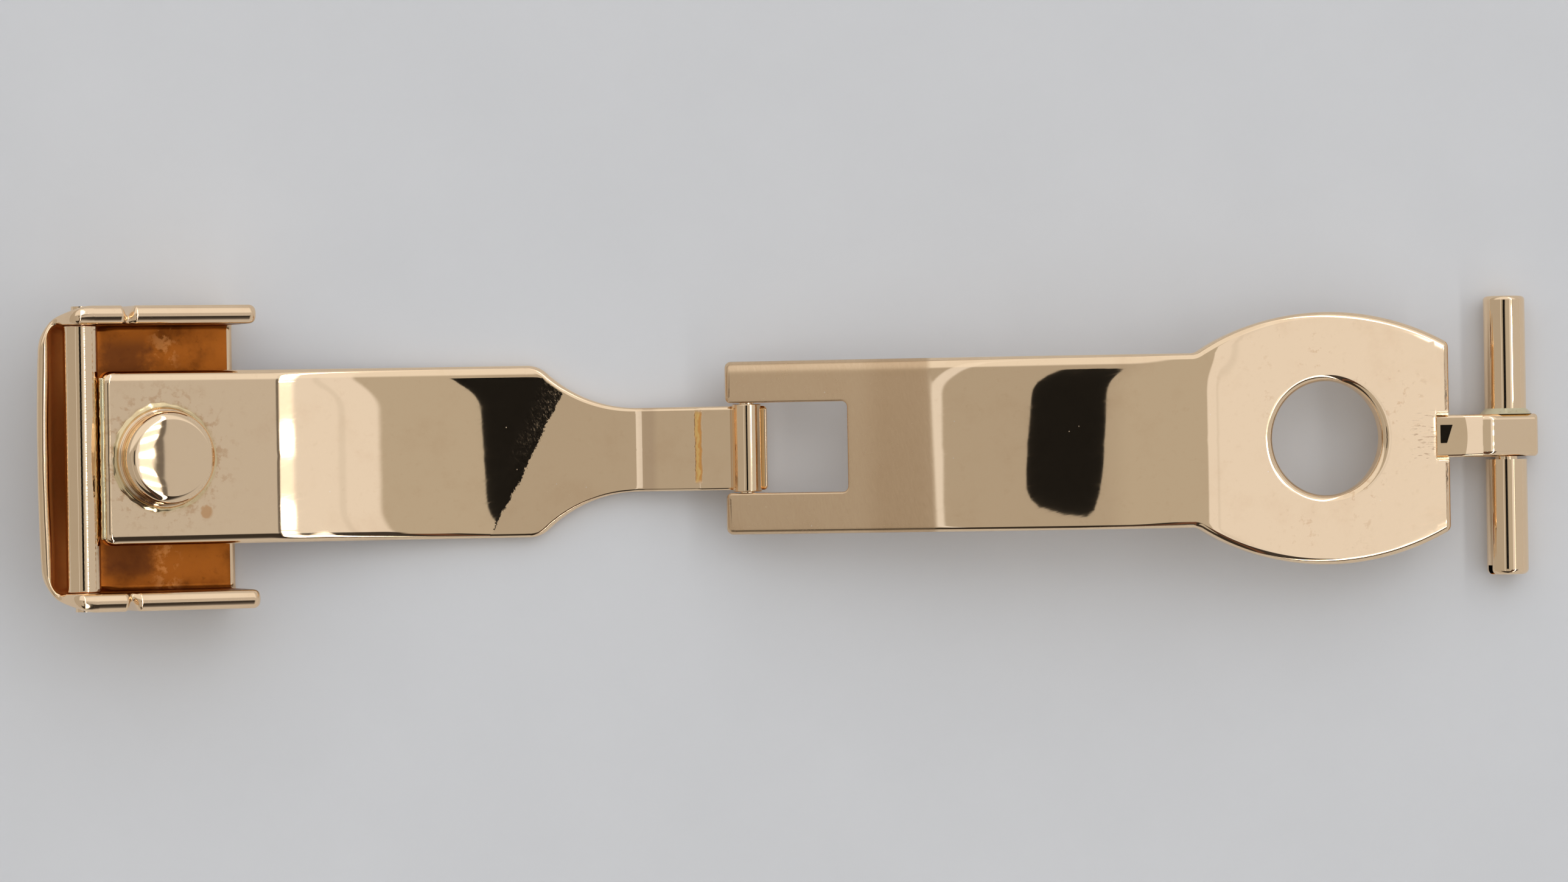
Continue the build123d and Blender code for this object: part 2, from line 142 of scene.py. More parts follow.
class Route:
    """Plane line of straight runs and tangent arcs, walked like a turtle."""

    def __init__(self, start: tuple[float, float], heading: float) -> None:
        """Starts at a point with a heading in degrees from the first axis.

        Args:
            start: first point.
            heading: first heading.
        """
        self.point = np.array(start, float)
        self.heading = math.radians(heading)
        self.legs: list[Leg] = []
        self.edge = 0.0

    def _walk(self, length: float, bend: float, spans: int, edge: Optional[float]) -> "Route":
        """Adds a leg and moves to its end.

        Args:
            length: length of the leg.
            bend: change of heading per millimetre.
            spans: spans of the leg.
            edge: edge radius at its end, or the last one.

        Returns:
            The route itself.
        """
        last = self.edge if edge is None else edge
        leg = Leg(self.point, self.heading, length, bend, spans, (self.edge, last))
        self.legs.append(leg)
        self.point = self._at(leg, np.array([length]))[0][0]
        self.heading += length * bend
        self.edge = last
        return self

    def straight(self, length: float, spans: int = 1, edge: Optional[float] = None) -> "Route":
        """Walks straight on."""
        return self._walk(length, 0.0, spans, edge)

    def until(self, axis: int, value: float, spans: int = 1, edge: Optional[float] = None) -> "Route":
        """Walks straight on until one coordinate has a value."""
        direction = (math.cos(self.heading), math.sin(self.heading))[axis]
        return self._walk((value - self.point[axis]) / direction, 0.0, spans, edge)

    def arc(self, radius: float, turn: float, spans: int = 8, edge: Optional[float] = None) -> "Route":
        """Turns by an angle in degrees, to the left where it is positive."""
        angle = math.radians(turn)
        return self._walk(radius * abs(angle), math.copysign(1 / radius, angle), spans, edge)

    @staticmethod
    def _at(leg: Leg, walked: Array) -> tuple[Array, Array]:
        """Points and headings on a leg, from the closed form of a line or a circle.

        Args:
            leg: the leg.
            walked: distances from the leg's start.

        Returns:
            Points, shape (n, 2), and headings.
        """
        heading = leg.heading + walked * leg.bend
        if leg.bend == 0.0:
            step = np.stack([np.cos(heading), np.sin(heading)], -1) * walked[:, None]
            return leg.start + step, heading
        turned = np.stack(
            [np.sin(heading) - math.sin(leg.heading), math.cos(leg.heading) - np.cos(heading)], -1
        )
        return leg.start + turned / leg.bend, heading

    def sample(self, first: int = 0, last: Optional[int] = None) -> "Trace":
        """Points, left normals and edge radii of some legs, each end counted once.

        Args:
            first: number of the first leg.
            last: number after the last leg.

        Returns:
            The samples.
        """
        points, headings, edges = [], [], []
        for index, leg in enumerate(self.legs[first:last]):
            share = np.linspace(0.0, 1.0, leg.spans + 1)[0 if index == 0 else 1 :]
            place, heading = self._at(leg, share * leg.length)
            points.append(place)
            headings.append(heading)
            edges.append(leg.edge[0] + (leg.edge[1] - leg.edge[0]) * share)
        angle = np.concatenate(headings)
        normals = np.stack([-np.sin(angle), np.cos(angle)], -1)
        return Trace(np.concatenate(points), normals, np.concatenate(edges))

    def walk(self, walked: Array) -> tuple[Array, Array]:
        """Points and unit left normals at distances from the route's start, past its ends too.

        Args:
            walked: distances from the route's start, of any shape.

        Returns:
            Points and normals, each with one more axis.
        """
        lengths = np.array([leg.length for leg in self.legs])
        starts = np.concatenate([[0.0], np.cumsum(lengths)[:-1]])
        flat = walked.ravel()
        index = np.clip(np.searchsorted(starts, flat, side="right") - 1, 0, len(starts) - 1)
        points = np.zeros((flat.size, 2))
        headings = np.zeros(flat.size)
        for number, leg in enumerate(self.legs):
            chosen = index == number
            points[chosen], headings[chosen] = self._at(leg, flat[chosen] - starts[number])
        normals = np.stack([-np.sin(headings), np.cos(headings)], -1)
        return points.reshape(*walked.shape, 2), normals.reshape(*walked.shape, 2)


@dataclass
class Trace:
    """Samples of a route: points, left normals and the edge radius at each."""

    points: Array
    normals: Array
    edges: Array

    def inset(self) -> Array:
        """Points moved to the right of the walk by the edge radius."""
        return self.points - self.normals * self.edges[:, None]

    def flipped(self) -> "Trace":
        """The same samples in the other order."""
        return Trace(self.points[::-1], self.normals[::-1], self.edges[::-1])

def edge_band(trace: Trace, thickness: Array, spans: int = 6, wall_spans: int = 2) -> Array:
    """Rounded rim of a sheet: a quarter circle, the wall and a quarter circle at every sample.

    Args:
        trace: samples of the sheet's outline with outward normals and edge radii.
        thickness: sheet thickness at every sample.
        spans: spans of each quarter circle.
        wall_spans: spans of the wall between them.

    Returns:
        Grid (samples, profile points, 3) of outline coordinates and depth under the top face.
    """
    turn = np.linspace(0.0, math.pi / 2, spans + 1)
    radius = trace.edges[:, None]
    whole = thickness[:, None]
    out = radius * (np.sin(turn) - 1)[None, :]
    deep = radius * (1 - np.cos(turn))[None, :]
    share = np.linspace(0.0, 1.0, wall_spans + 1)[1:-1][None, :]
    wall = radius + (whole - 2 * radius) * share
    move = np.concatenate([out, np.zeros_like(wall), out[:, ::-1]], 1)
    depth = np.concatenate([deep, wall, whole - deep[:, ::-1]], 1)
    place = trace.points[:, None, :] + trace.normals[:, None, :] * move[..., None]
    return np.concatenate([place, depth[..., None]], -1)


class Skin:
    """Patches of one piece in millimetres, welded into one closed mesh."""

    def __init__(self) -> None:
        """Starts with no patch."""
        self.patches: list[tuple[Array, int]] = []
        self.caps: list[tuple[Array, int]] = []

    def add(self, grid: Array, mirror: bool = False, finish: int = 0) -> None:
        """Takes a grid of points, and its mirror image across Y where that is asked for.

        Args:
            grid: points, shape (n, k, 3).
            mirror: whether the mirror image is added.
            finish: number of the material.
        """
        self.patches.append((grid, finish))
        if mirror:
            self.patches.append((grid * np.array([1.0, -1.0, 1.0]), finish))

    def cap(self, ring: Array, finish: int = 0) -> None:
        """Takes a flat face with a ring of corner points."""
        self.caps.append((ring, finish))

    @staticmethod
    def _quads(rows: int, columns: int) -> Array:
        """Corner numbers of the faces of a grid."""
        corner = (np.arange(rows - 1)[:, None] * columns + np.arange(columns - 1)[None, :]).ravel()
        return np.stack([corner, corner + 1, corner + columns + 1, corner + columns], -1)

    def build(self, name: str, finishes: Sequence[Material]) -> Piece:
        """Welds the patches, turns the faces outwards and sets area-weighted normals.

        Args:
            name: name of the piece.
            finishes: materials, in the order that the patches number them.

        Returns:
            The object, at the origin, with its place in its mesh.
        """
        points, quads, marks, start = [], [], [], 0
        for grid, finish in self.patches:
            rows, columns = grid.shape[:2]
            faces = self._quads(rows, columns) + start
            points.append(grid.reshape(-1, 3))
            quads.append(faces)
            marks.append(np.full(len(faces), finish))
            start += rows * columns
        rings = []
        for ring, finish in self.caps:
            points.append(ring)
            rings.append((np.arange(len(ring)) + start, finish))
            start += len(ring)
        stacked = np.concatenate(points)
        keys = np.floor(stacked / WELD + WELD_SHIFT).astype(np.int64)
        _, kept, back = np.unique(keys, axis=0, return_index=True, return_inverse=True)
        back = back.reshape(-1)
        corners = back[np.concatenate(quads)]
        mark = np.concatenate(marks)
        same = corners == np.roll(corners, -1, axis=1)
        whole = ~same.any(1)
        faces = corners[whole].tolist()
        numbers = mark[whole].tolist()
        for pair in range(4):
            picked = same[:, pair] & (same.sum(1) == 1)
            left = [column for column in range(4) if column != pair]
            faces += corners[picked][:, left].tolist()
            numbers += mark[picked].tolist()
        for ring, finish in rings:
            corner = back[ring]
            faces.append(corner[corner != np.roll(corner, 1)].tolist())
            numbers.append(finish)
        mesh = bpy.data.meshes.new(name)
        mesh.from_pydata((stacked[kept] * MM).tolist(), [], faces)
        for finish in finishes:
            mesh.materials.append(finish)
        mesh.polygons.foreach_set("material_index", np.array(numbers, np.int32))
        work = bmesh.new()
        work.from_mesh(mesh)
        bmesh.ops.recalc_face_normals(work, faces=work.faces)
        open_edges = sum(1 for edge in work.edges if not edge.is_manifold)
        work.to_mesh(mesh)
        work.free()
        weigh_normals(mesh)
        made = bpy.data.objects.new(name, mesh)
        bpy.context.scene.collection.objects.link(made)
        log.info("%s: %d faces, %d open edges", name, len(mesh.polygons), open_edges)
        return made


def weigh_normals(mesh: bpy.types.Mesh) -> None:
    """Sets vertex normals to the sum of the faces' normals times their areas.

    Args:
        mesh: mesh to change.
    """
    mesh.update()
    count = len(mesh.vertices)
    mesh.calc_loop_triangles()
    triangles = np.zeros(len(mesh.loop_triangles) * 3, np.int32)
    mesh.loop_triangles.foreach_get("vertices", triangles)
    triangles = triangles.reshape(-1, 3)
    places = np.zeros(count * 3)
    mesh.vertices.foreach_get("co", places)
    places = places.reshape(-1, 3) / MM
    a, b, c = (places[triangles[:, number]] for number in range(3))
    areas = np.cross(b - a, c - a)
    sums = np.zeros((count, 3))
    for number in range(3):
        np.add.at(sums, triangles[:, number], areas)
    mesh.polygons.foreach_set("use_smooth", np.ones(len(mesh.polygons), bool))
    mesh.normals_split_custom_set_from_vertices(unit(sums).tolist())


def lathe(profile: Array, base: Array, axis: Array, across: Array, around: int = 96) -> Array:
    """Turned surface: each profile point (radius, height) goes round the axis in a circle.

    Args:
        profile: points of radius and height, shape (n, 2).
        base: point at height zero on the axis.
        axis: unit vector along the axis.
        across: unit vector square to the axis, where the turn starts.
        around: spans of the full turn.

    Returns:
        Grid of points, shape (n, around + 1, 3).
    """
    angle = np.linspace(0.0, 2 * math.pi, around + 1)
    spoke = spokes(angle, across, np.cross(axis, across))
    return base + profile[:, None, 1:] * axis + profile[:, None, :1] * spoke[None, :, :]


def operator(operation: str, swapped: bool = False) -> Callable[["Flow", Any], "Flow"]:
    """Method that adds one Math node to a flow and another value, in this order or swapped.

    Args:
        operation: the Math node's operation.
        swapped: whether the other value comes first.

    Returns:
        The method.
    """

    def apply(self: "Flow", other: Any) -> "Flow":
        """Adds the node."""
        return self.maths(operation, *((other, self) if swapped else (self, other)))

    return apply


class Flow:
    """A socket of a node tree with the operators of plain numbers."""

    def __init__(self, shader: "Shader", socket: Any) -> None:
        """Wraps an output socket."""
        self.shader = shader
        self.socket = socket

    def maths(self, operation: str, *values: Any) -> "Flow":
        """Adds one Math node."""
        return self.shader.node("ShaderNodeMath", {"operation": operation}, *values)

    __add__ = __radd__ = operator("ADD")
    __mul__ = __rmul__ = operator("MULTIPLY")
    __sub__ = operator("SUBTRACT")
    __rsub__ = operator("SUBTRACT", swapped=True)
    __truediv__ = operator("DIVIDE")
    __pow__ = operator("POWER")
    most = operator("MAXIMUM")

    def absolute(self) -> "Flow":
        """Size of the value without its sign."""
        return self.maths("ABSOLUTE", self)

    def cosine(self) -> "Flow":
        """Cosine of an angle in radians."""
        return self.maths("COSINE", self)

    def angle(self, other: Any) -> "Flow":
        """Angle in degrees whose tangent is this value over another."""
        return self.maths("ARCTAN2", self, other) * (180 / math.pi)

    def step(self, low: float, high: float) -> "Flow":
        """Smooth step from zero at low to one at high, falling where low is over high.

        Args:
            low: value where the step is zero.
            high: value where it is one.

        Returns:
            The step.
        """
        if low > high:
            return 1 - self.step(high, low)
        settings = {"interpolation_type": "SMOOTHSTEP"}
        return self.shader.node("ShaderNodeMapRange", settings, self, low, high, 0.0, 1.0)

    def between(self, rise: Pair, fall: Pair) -> "Flow":
        """One between two smooth steps, of which each is given by where it is zero and where one."""
        return self.step(*rise) * self.step(*fall)


class Shader:
    """One material's nodes, written as expressions."""

    def __init__(self, name: str, tree: Any = None) -> None:
        """Starts an empty tree: a new material's, unless one is given.

        Args:
            name: name of the new material.
            tree: another tree to write to.
        """
        self.material: Optional[Material] = None
        if tree is None:
            self.material = bpy.data.materials.new(name)
            self.material.use_nodes = True
            tree = self.material.node_tree
        self.tree = tree
        self.tree.nodes.clear()

    def node(self, kind: str, settings: dict[str, Any], *values: Any, out: Any = 0) -> Flow:
        """Adds a node.

        Args:
            kind: the node's type.
            settings: properties, set first.
            *values: values or flows of its inputs in order, None to leave one alone.
            out: number or name of the output.

        Returns:
            The output.
        """
        made = self.tree.nodes.new(kind)
        for key, value in settings.items():
            setattr(made, key, value)
        inputs = [socket for socket in made.inputs if socket.enabled]
        for socket, value in zip(inputs, values):
            self.feed(socket, value)
        return Flow(self, made.outputs[out])

    def feed(self, socket: Any, value: Any) -> None:
        """Links a flow to a socket or sets its value.

        Args:
            socket: input to feed.
            value: a flow, a value, or None to leave it alone.
        """
        if isinstance(value, Flow):
            self.tree.links.new(value.socket, socket)
        elif value is not None:
            socket.default_value = value

    def place(self) -> Flow:
        """Object coordinates in millimetres."""
        coordinates = self.node("ShaderNodeTexCoord", {}, out="Object")
        return self.node("ShaderNodeVectorMath", {"operation": "SCALE"}, coordinates, 1 / MM)

    def parts(self, vector: Flow) -> tuple[Flow, Flow, Flow]:
        """The three coordinates of a vector."""
        outputs = self.node("ShaderNodeSeparateXYZ", {}, vector).socket.node.outputs
        return Flow(self, outputs[0]), Flow(self, outputs[1]), Flow(self, outputs[2])

    def join(self, x: Any, y: Any, z: Any) -> Flow:
        """A vector of three values."""
        return self.node("ShaderNodeCombineXYZ", {}, x, y, z)

    def noise(self, vector: Flow, size: float, detail: float = 2.0, rough: float = 0.5) -> Flow:
        """Cloud noise of about 0 to 1 whose lumps are some millimetres across."""
        settings = {"noise_dimensions": "3D"}
        return self.node("ShaderNodeTexNoise", settings, vector, 1 / size, detail, rough, 2.0)

    def mix(self, share: Any, first: Any, second: Any) -> Flow:
        """Colour between two colours."""
        return self.node("ShaderNodeMix", {"data_type": "RGBA"}, share, first, second, out=2)

    def specks(self, place: Flow, pitch: float, size: float, share: float) -> Flow:
        """Round specks on a random grid.

        Args:
            place: coordinates in millimetres.
            pitch: mean distance between cells.
            size: radius of a speck in millimetres.
            share: part of the cells that hold one.

        Returns:
            Mask of the specks: one inside a speck, zero outside.
        """
        cells = self.node("ShaderNodeTexVoronoi", {"feature": "F1"}, place, 1 / pitch)
        pick, _, _ = self.parts(Flow(self, cells.socket.node.outputs["Color"]))
        return (cells * pitch).step(size, size * 0.6) * pick.step(share, share - 0.02)

    def bump(self, height: Flow, normal: Optional[Flow] = None) -> Flow:
        """Normal of a surface raised by a height in millimetres."""
        return self.node("ShaderNodeBump", {}, 1.0, MM, None, height, normal)

    def finish(self, colour: Any, roughness: Any, normal: Optional[Flow], metal: float) -> Material:
        """Joins a colour, roughness and normal to the surface and returns the material.

        Args:
            colour: base colour.
            roughness: roughness.
            normal: normal, if any.
            metal: share of metal.

        Returns:
            The material, or None for a tree of another kind.
        """
        surface = self.node("ShaderNodeBsdfPrincipled", {})
        body = surface.socket.node
        self.feed(body.inputs["Base Color"], colour)
        self.feed(body.inputs["Roughness"], roughness)
        self.feed(body.inputs["Normal"], normal)
        body.inputs["Metallic"].default_value = metal
        end = self.tree.nodes.new("ShaderNodeOutputMaterial")
        self.tree.links.new(surface.socket, end.inputs["Surface"])
        return self.material


def rgba(colour: Sequence[float]) -> tuple[float, float, float, float]:
    """A colour with its alpha."""
    return (colour[0], colour[1], colour[2], 1.0)


@dataclass(frozen=True)
class Gold:
    """A gold surface.

    It has a colour, a colour of its stains and how much of them there is (haze), a roughness
    (shine), the heights of its waves and scratches in millimetres, and a share of dust.
    """

    colour: tuple[float, float, float] = (0.93, 0.70, 0.46)
    stain: tuple[float, float, float] = (0.55, 0.27, 0.10)
    haze: float = 0.12
    shine: float = 0.03
    wave: float = 0.0025
    scratch: float = 0.00012
    dust: float = 0.35


class Finish(Enum):
    """Finishes of the clasp's pieces."""

    PLATE = Gold()
    DOME = Gold(haze=0.05, wave=0.001, dust=0.5)
    TURNED = Gold(haze=0.05, wave=0.0012, dust=0.0)
    OUTER = Gold(colour=(0.93, 0.69, 0.45), haze=0.1, shine=0.05, wave=0.004, dust=0.1)
    # The inside's deep orange is partly tarnish and partly painted reflection of the gold walls in one
    # another.
    INNER = Gold(colour=(0.50, 0.145, 0.020), stain=(0.12, 0.03, 0.006), haze=0.8, shine=0.34, wave=0.004)
    RING = Gold(colour=(0.84, 0.66, 0.38), stain=(0.50, 0.24, 0.07), haze=0.95, shine=0.10, wave=0.02)
    SOLDER = Gold(colour=(0.84, 0.74, 0.48), stain=(0.42, 0.20, 0.06), haze=0.8, shine=0.10, wave=0.02)


class Coat:
    """A gold material in the making: coordinates in millimetres, colour, roughness, height and lean."""

    def __init__(self, name: str, finish: Finish) -> None:
        """Starts from a finish.

        The colour leans to the stain where cloud noise is high. Roughness is the shine plus the
        haze plus short strokes. Height is a long wave and thin strokes.

        Args:
            name: name of the material.
            finish: finish to start from.
        """
        self.gold: Gold = finish.value
        self.shader = Shader(name)
        self.place = self.shader.place()
        self.x, self.y, self.z = self.shader.parts(self.place)
        self.colour: Any = rgba(self.gold.colour)
        self.normal: Optional[Flow] = None
        cloud = self.noise(2.6, 5.0, 0.6).step(0.48, 0.78)
        patch = self.noise(0.45, 3.0, 0.6).step(0.56, 0.80)
        strokes = self.grain(self.x * 0.35 + self.y * 0.2, self.y * 2.4 - self.x * 0.6, 0.35, 3.0)
        self.tint(cloud * self.gold.haze, self.gold.stain)
        self.tint(patch * self.gold.haze * 0.6, self.gold.stain)
        haze = cloud * 0.03 * (0.3 + self.gold.haze)
        self.roughness = self.gold.shine + haze + strokes.step(0.5, 0.8) * 0.02
        self.height = self.noise(2.4, 1.5) * self.gold.wave + strokes * self.gold.scratch

    def noise(self, size: float, detail: float = 2.0, rough: float = 0.5) -> Flow:
        """Cloud noise on the coat's own coordinates."""
        return self.shader.noise(self.place, size, detail, rough)

    def grain(self, right: Flow, far: Flow, size: float, detail: float = 2.0, rough: float = 0.5) -> Flow:
        """Cloud noise on stretched and leaning coordinates, for strokes and hairs."""
        return self.shader.noise(self.shader.join(right, far, self.z), size, detail, rough)

    def specks(self, pitch: float, size: float, share: float) -> Flow:
        """Round specks on the coat's own coordinates."""
        return self.shader.specks(self.place, pitch, size, share)

    def strip(self, middle: float, outer: float, inner: float) -> Flow:
        """Band across the clasp: one inside the inner half width and zero past the outer one."""
        return (self.x - middle).absolute().step(outer, inner)

    def tint(self, share: Flow, colour: Sequence[float]) -> None:
        """Lays a colour over the coat by a share."""
        self.colour = self.shader.mix(share, self.colour, rgba(colour))

    def dust(self) -> None:
        """Lays pale dust and dark crumbs over the colour."""
        if self.gold.dust <= 0:
            return
        self.tint(self.specks(0.75, 0.035, self.gold.dust * 0.6) * 0.55, (1.0, 0.95, 0.88))
        self.tint(self.specks(2.1, 0.06, self.gold.dust * 0.3) * 0.8, (0.25, 0.12, 0.05))

    def lean(self, right: Any, far: Any) -> None:
        """Leans the surface normal by small angles in radians to the right and to the far side.

        Args:
            right: lean to the right.
            far: lean to the far side.
        """
        own = self.shader.node("ShaderNodeNewGeometry", {}, out="Normal")
        lean = self.shader.join(right, far, 0.0)
        whole = self.shader.node("ShaderNodeVectorMath", {"operation": "ADD"}, own, lean)
        self.normal = self.shader.node("ShaderNodeVectorMath", {"operation": "NORMALIZE"}, whole)

    def finish(self) -> Material:
        """Joins the coat to the surface."""
        bump = self.shader.bump(self.height, self.normal)
        return self.shader.finish(self.colour, self.roughness, bump, 1.0)


@dataclass
class Polish:
    """Builds the gold materials, with the marks, painted shades and painted reflections of each piece in its
    own place.

    Lengths are in millimetres. A pair says where a smooth step is zero and where it is one. The
    places on the neck and the fork are runs from the hinge, those in the cover are runs from the
    cross tube, both positive to the right, and those on the curves are places along the clasp.
    """

    score: float = -2.57
    score_half: Pair = (0.22, 0.12)
    score_reach: Pair = (2.0, 1.7)
    score_depth: float = 0.02
    shine: float = -2.61
    shine_half: Pair = (0.12, 0.02)
    foot_shade: float = -5.25
    foot_hollow: float = -5.9
    crevice: float = -0.83
    ledge: tuple[Pair, Pair] = ((0.60, 0.70), (1.0, 0.86))
    neck_haze: Pair = (-6.2, -4.4)
    neck_lean: Pair = (-2.95, -2.5)
    curve_start: float = -9.28
    fork_line: Pair = (9.95, 9.55)
    fork_shade: float = 8.2
    floor_shade: Pair = (0.5, 0.9)
    plate_shadow_middle: float = 1.9
    floor_glint: float = 3.9
    wall_glow: Pair = (-0.7, -1.1)
    front_bend: Pair = (-26.2, -24.6)
    front_sides: Pair = (-26.4, -24.6)
    front_top: Pair = (-13.0, -14.0)
    front_brim: Pair = (-19.0, -22.0)
    front_lint: tuple[Pair, Pair] = ((-17.0, -16.0), (-10.0, -11.0))
    rear_curve: tuple[Pair, Pair] = ((8.0, 10.5), (22.5, 20.0))
    rear_roll: Pair = (24.5, 21.5)
    rear_oval: Pair = (21.5, 23.0)
    rear_top: Pair = (20.5, 17.5)
    rear_lint: tuple[Pair, Pair] = ((12.0, 12.6), (17.6, 17.0))

    def __post_init__(self) -> None:
        """Looks up the hinge and the cross tube once."""
        self.hinge = joint_place("main_fold")[0]
        self.tube = joint_place("cover_swing")[0]

    def by_hinge(self, runs: Pair) -> Pair:
        """Places along the clasp of two runs from the hinge."""
        return self.hinge + runs[0], self.hinge + runs[1]

    def by_tube(self, runs: Pair) -> Pair:
        """Places along the clasp of two runs from the cross tube."""
        return self.tube + runs[0], self.tube + runs[1]

    @staticmethod
    def plain(name: str, finish: Finish) -> Material:
        """Gold with no marks of its own.

        Args:
            name: name of the material.
            finish: its finish.

        Returns:
            The material.
        """
        coat = Coat(name, finish)
        coat.dust()
        return coat.finish()

    def front_plate(self, stud: Array) -> Material:
        """Front blade's gold, with the scored neck and its painted reflection, and the stains and painted
        shade round the stud.

        The dark round the lens is cut off along a slanting line with a furry edge, right of which
        the blade is mirrored as if it were flat.

        Args:
            stud: place of the stud.

        Returns:
            The material.
        """
        coat = Coat("front_blade_polish", Finish.PLATE)
        x, y = coat.x, coat.y
        mark = self.neck_marks(coat)
        self.stud_stains_and_shade(coat, stud)
        haze = x.step(*self.by_hinge(self.neck_haze))
        coat.tint(coat.specks(1.2, 0.07, 0.12) * haze * 0.5, coat.gold.stain)
        coat.dust()
        coat.roughness = coat.roughness + haze * 0.07 + mark * 0.2
        coat.height = coat.height - mark * self.score_depth
        fur = coat.grain(x * 1.2 + y * 0.5, y - x * 0.7, 0.16, 4.0, 0.75) - 0.5
        lock = coat.noise(0.8, 3.0, 0.6) - 0.5
        cut = x - (y * 0.53 - 13.95) + fur * 0.55 + lock * 0.5
        flat = cut.step(-0.05, 0.10)
        start = self.hinge + self.curve_start
        self.front_lean(coat, start, flat)
        hair = coat.grain(x * 3.2 + y * 1.6, y * 0.9 - x * 0.45, 0.20, 4.0, 0.7)
        fuzz = cut.step(-2.0, -0.4) * (1 - flat) * y.step(-2.5, 1.5) * x.step(start + 0.8, start - 0.5)
        left, right = self.front_lint
        lint = coat.specks(0.55, 0.035, 0.22) * x.step(*left) * x.step(*right)
        coat.roughness = coat.roughness + fuzz * hair.step(0.46, 0.72) * 0.2 + lint * 0.4
        return coat.finish()

    def neck_marks(self, coat: Coat) -> Flow:
        """File score across the neck coloured with painted reflection, painted shade at its foot, and
        painted shade and reflection beside the knuckle tube.

        Args:
            coat: the front blade's coat.

        Returns:
            Mask of the score.
        """
        x, hinge = coat.x, self.hinge
        ragged = (coat.noise(0.5, 3.0) - 0.5) * 0.16
        reach = (coat.y - 0.1).absolute().step(*self.score_reach)
        mark = (x + ragged - (hinge + self.score)).absolute().step(*self.score_half) * reach
        glow = (x + ragged * 3.0 - (hinge + self.shine)).absolute().step(*self.shine_half)
        ledge = x.between(*(self.by_hinge(runs) for runs in self.ledge))
        # The score is a real groove; its orange and the highlight along its middle are painted reflection.
        coat.tint(mark * 0.85, (0.86, 0.38, 0.07))
        coat.tint(mark * glow * 0.9, (1.0, 0.66, 0.24))
        # Painted shade at the neck's foot, painted shade in the crevice where the neck meets the knuckle
        # tube, and painted orange reflection on the ledge beside the tube.
        coat.tint(coat.strip(hinge + self.foot_shade, 0.62, 0.12) * 0.22, (0.42, 0.26, 0.18))
        coat.tint(coat.strip(hinge + self.crevice, 0.07, 0.02) * 0.7, (0.62, 0.36, 0.16))
        coat.tint(ledge * 0.8, (0.80, 0.42, 0.12))
        return mark

    @staticmethod
    def stud_stains_and_shade(coat: Coat, stud: Array) -> None:
        """Cloudy stained halo round the stud, a ring of painted shade at the foot of its solder, and a round
        blot below it to the right.

        Args:
            coat: the front blade's coat.
            stud: place of the stud.
        """
        right, far = coat.x - stud[0], coat.y - stud[1]
        away = (right * right * 1.2 + far * far) ** 0.5
        clouds = coat.noise(0.5, 4.0, 0.65)
        blot_x, blot_y = coat.x - (stud[0] + 2.1), coat.y - (stud[1] - 2.9)
        blot = (blot_x * blot_x + blot_y * blot_y * 0.7) ** 0.5 + (clouds - 0.5) * 0.35
        coat.tint(away.step(4.6, 2.7) * clouds.step(0.50, 0.64) * 0.45, coat.gold.stain)
        # Painted shade in the corner where the solder ring meets the plate, broken up by cloud noise.
        coat.tint(away.step(3.05, 2.75) * clouds.step(0.35, 0.55) * 0.5, (0.6, 0.38, 0.14))
        coat.tint(blot.step(0.36, 0.22) * 0.8, (0.72, 0.40, 0.18))

    def front_lean(self, coat: Coat, start: float, flat: Flow) -> None:
        """Small leans of the front blade's polish.

        Args:
            coat: the front blade's coat.
            start: place where the long curve starts.
            flat: mask of the part that is mirrored as if it were flat.
        """
        x, y = coat.x, coat.y
        arc = (start - x).most(0.0) * 0.0256
        curve = x.between(self.front_bend, (start + 0.3, start - 0.9)) * 0.0295
        roll, low = y.step(1.9, 4.6), y.step(-2.4, -4.6)
        sides = x.between((start - 2.6, start - 3.4), self.front_sides)
        right = curve - flat * (arc + curve) - (roll * roll * 0.045 - low * low * 0.018) * sides
        neck = x.step(*self.by_hinge(self.neck_lean)) * 0.05
        hollow = coat.strip(self.hinge + self.foot_hollow, 0.36, 0.24) * 0.019
        top = y.step(3.85, 4.35) * 0.17 * x.step(*self.front_top)
        brim = y.step(-3.9, -4.25) * x.step(*self.front_brim) * 0.13
        coat.lean(right - neck - hollow, y / 170.0 + top - brim)

    def rear_plate(self, hole: Array) -> Material:
        """Rear blade's gold: brushed fork, polished curve, lightly marked oval.

        Args:
            hole: place of the hole.

        Returns:
            The material.
        """
        coat = Coat("rear_blade_polish", Finish.PLATE)
        x, y = coat.x, coat.y
        self.fork_satin(coat)
        right, far = x - hole[0], y - hole[1]
        away = (right * right + far * far) ** 0.5
        clouds = coat.noise(0.4, 4.0, 0.65).step(0.56, 0.68) * coat.noise(2.2, 1.0).step(0.50, 0.60)
        marks = clouds * away.step(7.5, 4.2) * x.step(hole[0] - 5.0, hole[0] - 2.0)
        coat.tint(marks * 0.35, (0.60, 0.34, 0.16))
        strokes = coat.grain(x * 0.6, y * 4.0, 0.3, 2.0).step(0.6, 0.7)
        lug_end = x.step(hole[0] + 4.3, hole[0] + 4.9) * y.absolute().step(1.5, 0.9)
        coat.tint(strokes * lug_end * 0.6, (0.30, 0.16, 0.08))
        coat.dust()
        curve = x.between(*self.rear_curve) * -0.0143
        roll = y.step(2.2, 4.8) * x.step(*self.rear_roll)
        slant = y * (1 - x.step(*self.rear_oval) * 0.75) / 82.0
        top = y.step(3.80, 4.35) * 0.17 * x.step(*self.rear_top)
        coat.lean(curve - roll * roll * 0.055, slant + top)
        left, right = self.rear_lint
        lint = coat.specks(0.55, 0.03, 0.16) * x.step(*left) * x.step(*right)
        coat.roughness = coat.roughness + lint * 0.4
        return coat.finish()

